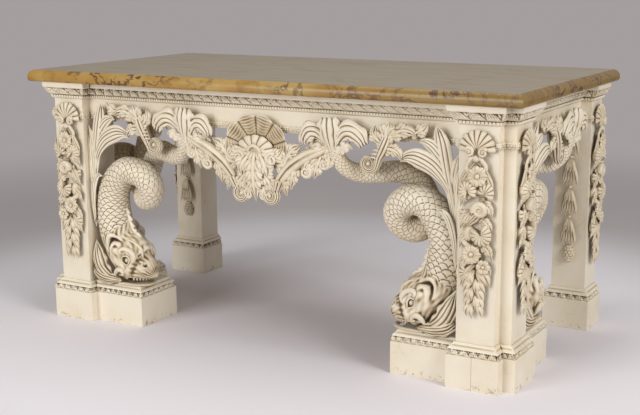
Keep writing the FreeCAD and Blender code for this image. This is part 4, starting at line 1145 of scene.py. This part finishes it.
form = bmesh.new()
for points in (
    [(240, 12, 672, 12), (204, 18, 646, 21), (180, 21, 614, 19), (186, 23, 580, 0)],
    [(164, 12, 634, 12), (142, 19, 600, 22), (132, 22, 566, 18), (130, 25, 537, 0)],
    [(118, 12, 596, 11), (106, 18, 566, 19), (106, 21, 540, 14), (114, 23, 514, 0)],
    [(238, 12, 668, 12), (230, 19, 636, 22), (218, 22, 606, 19), (212, 24, 578, 0)],
    [(106, 10, 600, 12), (114, 17, 640, 21), (140, 20, 668, 21), (172, 22, 684, 0)],
    [(186, 10, 656, 11), (208, 17, 684, 18), (238, 20, 699, 15), (264, 21, 700, 0)],
    [(252, 12, 676, 10), (266, 19, 652, 17), (264, 22, 630, 14), (250, 24, 612, 0)],
):
    acanthus(form, points)
arch_lead = [
    (272, 22, 688, 9),
    (236, 27, 670, 18),
    (182, 28, 648, 22),
    (126, 28, 610, 22),
    (88, 27, 566, 18),
    (77, 24, 538, 13),
]
leaf(form, arch_lead, 2, rise=0.5, groove=0.42)
coil(form, (54, 514), 25, 40, -1, 1.9, 11, 24, arch_lead[-2:], 8)
coil(form, (184, 600), 18, 60, -1, 1.6, 8, 24)
coil(form, (248, 630), 17, 60, -1, 1.6, 7, 22)
arch = carved_mesh(form, "arch", BUSY_GROUND)
set_carving(arch, "front_right_arch", CENTRE)
set_carving(arch, "front_left_arch", CENTRE @ MIRROR)

# Drops: strings of shells, flowers and leaves on the front and outer faces of the legs, each under a
# shell with two volutes and a ribbon, and strings of husks on the fronts of the back legs, all glued on.
DROP_GROUND = 0.80


def flower(form, across, level, size, petals, out):
    """A flower of curled petals round a button."""
    for number in range(petals):
        turn = 2 * math.pi * number / petals
        aim = (math.cos(turn), math.sin(turn))
        points = [
            (across + share * size * aim[0], out + lift, level + share * size * aim[1], half * size)
            for share, lift, half in ((0.1, 5, 0.16), (0.5, 10, 0.40), (0.8, 11, 0.36), (1.0, 5, 0.10))
        ]
        leaf(form, points, 2, curls=True)
    button(form, across, out + 9, level, 0.26 * size)


def blade(form, points):
    """A plain leaf with two deep flutes."""
    leaf(form, points, 2, rise=0.5, groove=0.4)


form = bmesh.new()
fan(form, (0, 716), (57, 57), 9, -10, 8, 14, rib=8)
ribbon = [(0, 16, 698, 4), (18, 20, 686, 6), (30, 18, 664, 6), (17, 16, 646, 6), (3, 16, 660, 4)]
ribbon_end = [(4, 12, 680, 6), (26, 16, 648, 12), (42, 14, 618, 10), (48, 8, 596, 0)]
for way in (-1, 1):
    coil(form, (way * 21, 708), 13, 90 - way * 60, way, 1.6, 6, 20)
    bar(form, spread(ribbon, way), 12, 0.6)
    leaf(form, spread(ribbon_end, way), 3)
button(form, 0, 17, 690, 11, 0.8)
for points in (
    [(0, 4, 660, 8), (-22, 12, 632, 15), (-42, 10, 604, 0)],
    [(0, 4, 660, 8), (26, 12, 636, 15), (46, 10, 612, 0)],
    [(-6, 4, 606, 8), (-34, 13, 580, 16), (-50, 11, 546, 0)],
    [(10, 4, 572, 8), (38, 13, 550, 15), (51, 11, 518, 0)],
    [(-4, 4, 548, 8), (-30, 15, 516, 16), (-50, 11, 480, 0)],
    [(10, 4, 520, 8), (36, 13, 502, 14), (51, 10, 474, 0)],
    [(0, 4, 480, 8), (-34, 13, 456, 15), (-51, 10, 424, 0)],
    [(6, 4, 450, 8), (38, 13, 428, 15), (51, 10, 396, 0)],
    [(0, 4, 412, 8), (-34, 13, 388, 15), (-51, 10, 356, 0)],
    [(6, 4, 400, 8), (36, 13, 374, 14), (50, 10, 344, 0)],
):
    acanthus(form, points)
flower(form, 6, 640, 32, 7, 13)
fan(form, (-24, 596), (29, 31), 11, -60, 6, 24, rib=3, tilt=20)
fan(form, (29, 590), (26, 33), 7, -20, 6, 20, rib=6, tilt=-20)
leaf(form, [(24, 10, 556, 10), (2, 14, 528, 16), (-22, 14, 500, 9), (-38, 10, 482, 0)], 4)
coil(form, (14, 542), 20, 200, -1, 2.0, 10, 18)
fan(form, (-26, 528), (25, 30), 7, -10, 4, 17, rib=6, tilt=160)
fan(form, (20, 472), (33, 35), 11, -50, 6, 26, rib=4, tilt=-160)
button(form, -22, 6, 468, 19, 0.8, 1.4)
for number in range(5):
    button(form, -30 + 5 * number, 17 + 2 * (number % 2), 444 - 3 * number, 8, steps=8)
flower(form, -8, 412, 30, 8, 13)
flower(form, 29, 378, 23, 6, 12)
fan(form, (-24, 358), (26, 30), 7, -30, 4, 18, rib=6, tilt=150)
for points in (
    [(0, 6, 384, 8), (-28, 13, 350, 14), (-47, 8, 310, 0)],
    [(4, 6, 376, 8), (32, 13, 352, 14), (48, 8, 312, 0)],
):
    blade(form, points)
for row in range(5):
    level = 366 - 24 * row
    laurel = [(3, 8, level, 6), (20, 17, level - 22, 12), (40 - 4 * row, 11, level - 48, 0)]
    for way in (-1, 1):
        blade(form, spread(laurel, way))
    tip = 9 if row % 2 else -9
    blade(form, [(0, 12, level, 6), (tip, 21, level - 24, 11), (tip / 2, 14, level - 52, 0)])
shell_drop = carved_mesh(form, "shell_drop", DROP_GROUND)

form = bmesh.new()
for tier in range(4):
    level = 694 - 102 * tier
    husk = [(3, 8, level - 8, 5), (6, 18, level - 36, 9), (9, 18, level - 66, 9), (13, 20, level - 98, 0)]
    for way in (-2, -1, 0, 1, 2):
        blade(form, spread(husk, way))
    cap = [(3, 14, level - 4, 5), (8, 24, level - 26, 9), (15, 26, level - 56, 0)]
    for way in (-1, 0, 1):
        blade(form, spread(cap, way))
    button(form, 0, 13, level + 2, 7)
for row in range(6):
    for number in range(6):
        turn = math.radians(-95 + 38 * number + 19 * (row % 2))
        size = 17 * math.sin(math.pi * (row + 1) / 7.5)
        button(form, size * math.sin(turn), 4 + size * math.cos(turn), 284 - 9 * row, 6.5, steps=8)
husk_drop = carved_mesh(form, "husk_drop", DROP_GROUND)

for side, way in (("left", -1), ("right", 1)):
    for end, face, drop, spot, turn in (
        ("front", "front", shell_drop, (way * (leg_inner_x + notch_x) / 2, front_face), 0),
        ("front", "side", shell_drop, (way * half_length, (leg_inner_y + notch_y) / 2), way * 90),
        ("back", "front", husk_drop, (way * (half_length + back_leg_inner_x) / 2, back_leg_front), 0),
        ("back", "side", shell_drop, (way * half_length, (half_depth + back_leg_front) / 2), way * 90),
    ):
        place = Matrix.Translation(Vector((*spot, 0)) * MM) @ Matrix.Rotation(math.radians(turn), 4, "Z")
        if way < 0:
            place = place @ MIRROR
        set_carving(drop, f"{end}_{side}_leg_{face}_drop", place)

# Marble slab: one thick slab of yellow Siena marble with a rounded edge, loose on the frame.
# The edge is polished and shows the stone's purple-brown veins, and the flat top is worn to a grey satin.
OCHRE = (0.36, 0.20, 0.045, 1)
PALE_OCHRE = (0.46, 0.31, 0.10, 1)
SHADED_OCHRE = (0.20, 0.12, 0.028, 1)
VEIN = (0.070, 0.028, 0.026, 1)
WORN_TOP = (0.33, 0.28, 0.21, 1)
WORN_STREAK = (0.25, 0.19, 0.125, 1)
SLAB_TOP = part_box("marble_slab")[1].z


def siena_marble():
    """Yellow marble clouded with veins in patches, greyed where its flat top is worn, and painted with
    shade towards its right end.
    """
    finish, shader, place = new_finish("siena_marble")
    wander = place.node("ShaderNodeTexNoise", None, {"Vector": place, "Scale": 4.0, "Detail": 3.0}, "Color")
    bend = {0: wander, 1: (0.22, 0.22, 0.22), 2: place}
    bent = place.node("ShaderNodeVectorMath", {"operation": "MULTIPLY_ADD"}, bend)
    clouds = bent.noise(5.0, 5.0)
    fold = bent.noise(9.0, 7.0, 0.62) - 0.5
    patch = place.noise(3.1, 2.0).between(0.38, 0.54)
    veins = (1 - (fold * fold).between(0.00003, 0.0008)) * (0.25 + 0.75 * patch)
    stains = bent.noise(17.0, 6.0, 0.7).between(0.57, 0.70) * patch
    stone = clouds.between(0.38, 0.66).blend(OCHRE, PALE_OCHRE)
    # Painted shade: the stone darkens towards the slab's right end.
    stone = (0.8 * place.part("X").between(-0.2, 0.9)).blend(stone, SHADED_OCHRE)
    stone = (veins.most(stains) * 0.85).blend(stone, VEIN)
    streaks = bent.stretched((1.2, 7.0, 1.0)).noise(4.0, 5.0, 0.62)
    worn = (streaks.between(0.46, 0.74) * 0.8).blend(WORN_TOP, WORN_STREAK)
    worn = (clouds.between(0.60, 0.78) * 0.35).blend(worn, OCHRE)
    flat_top = place.part("Z").between(SLAB_TOP - 0.0012, SLAB_TOP - 0.0003)
    flat_top.blend(stone, worn).into(shader, "Base Color")
    (0.20 + 0.28 * flat_top + 0.12 * streaks).into(shader, "Roughness")
    shader.inputs["Specular IOR Level"].default_value = 0.35
    streaks.bump(shader, 0.05, 0.001)
    return finish


dress("marble_slab", siena_marble())

# Studio: a pale floor that runs to a pale backdrop, three soft lamps, and a camera at the height of a
# standing viewer, to the right of the table's front.
FLOOR_COLOUR = (0.85, 0.81, 0.84, 1)
SHADED_FAR_FLOOR = (0.54, 0.495, 0.49, 1)
BACKDROP = (0.375, 0.345, 0.345, 1)
AMBIENT = (0.20, 0.20, 0.20, 1)
FLOOR_REACH = 14
FLOOR_NEAR = 1.15
FLOOR_MIDDLE = 2.1
FLOOR_FAR = 4.5
CAMERA_SPOT = Vector((2.0016, -3.4849, 1.2175))
CAMERA_TURN = 0.5222
CAMERA_DIP = 0.2015
CAMERA_ROLL = -0.0051
CAMERA_LENS = 65.86
CAMERA_FILM = 36
LAMP_AIM = Vector((0, 0, 0.45))
LAMPS = [
    ("key_lamp", (-1.5, -5.3, 2.2), 3.2, 190),
    ("fill_lamp", (4.6, -1.6, 2.6), 2.2, 145),
    ("top_lamp", (0.0, 0.5, 4.0), 3.0, 48),
]


def floor_finish():
    """A plain matt floor, painted darker with distance as a painted falloff of light, that fades into the
    backdrop further off.
    """
    finish, shader, place = new_finish("studio_floor")
    away = place.node("ShaderNodeVectorMath", {"operation": "LENGTH"}, {0: place}, "Value")
    # Painted shade: the floor's colour darkens with distance, standing in for the light falling off.
    painted_falloff = away.between(FLOOR_NEAR, FLOOR_MIDDLE) + 0.08 * place.noise(1.3, 2.0)
    painted_falloff.blend(FLOOR_COLOUR, SHADED_FAR_FLOOR).into(shader, "Base Color")
    shader.inputs["Roughness"].default_value = 0.8
    seen = place.node("ShaderNodeLightPath", output="Is Camera Ray")
    glow = place.node("ShaderNodeEmission", None, {"Color": BACKDROP})
    body = Shade(finish.node_tree, shader.outputs[0])
    fade = away.between(FLOOR_MIDDLE, FLOOR_FAR) * seen
    mixed = place.node("ShaderNodeMixShader", None, {0: fade, 1: body, 2: glow})
    mixed.into(finish.node_tree.nodes["Material Output"], "Surface")
    return finish


form = bmesh.new()
bmesh.ops.create_grid(form, x_segments=4, y_segments=4, size=FLOOR_REACH)
mesh = bpy.data.meshes.new("studio_floor")
form.to_mesh(mesh)
form.free()
mesh.materials.append(floor_finish())
floor = bpy.data.objects.new("studio_floor", mesh)
bpy.context.scene.collection.objects.link(floor)

world = bpy.data.worlds.new("studio")
world.use_nodes = True
bpy.context.scene.world = world
start = Shade(world.node_tree)
seen = start.node("ShaderNodeLightPath", output="Is Camera Ray")
for ray in ("Is Glossy Ray", "Is Transmission Ray"):
    seen = seen.most(start.node("ShaderNodeLightPath", output=ray))
backdrop = world.node_tree.nodes["Background"]
seen.blend(AMBIENT, BACKDROP).into(backdrop, "Color")
backdrop.inputs["Strength"].default_value = 1.0

for name, spot, size, power in LAMPS:
    lamp = bpy.data.lights.new(name, "AREA")
    lamp.size = size
    lamp.energy = power
    stand = bpy.data.objects.new(name, lamp)
    stand.location = spot
    stand.rotation_euler = (LAMP_AIM - Vector(spot)).to_track_quat("-Z", "Y").to_euler()
    bpy.context.scene.collection.objects.link(stand)

lens = bpy.data.cameras.new("viewer")
lens.sensor_width = CAMERA_FILM
lens.lens = CAMERA_LENS
camera = bpy.data.objects.new("viewer", lens)
camera.matrix_world = (
    Matrix.Translation(CAMERA_SPOT)
    @ Matrix.Rotation(CAMERA_TURN, 4, "Z")
    @ Matrix.Rotation(math.pi / 2 - CAMERA_DIP, 4, "X")
    @ Matrix.Rotation(CAMERA_ROLL, 4, "Z")
)
bpy.context.scene.collection.objects.link(camera)
bpy.context.scene.camera = camera
bpy.context.scene.view_settings.view_transform = "Standard"
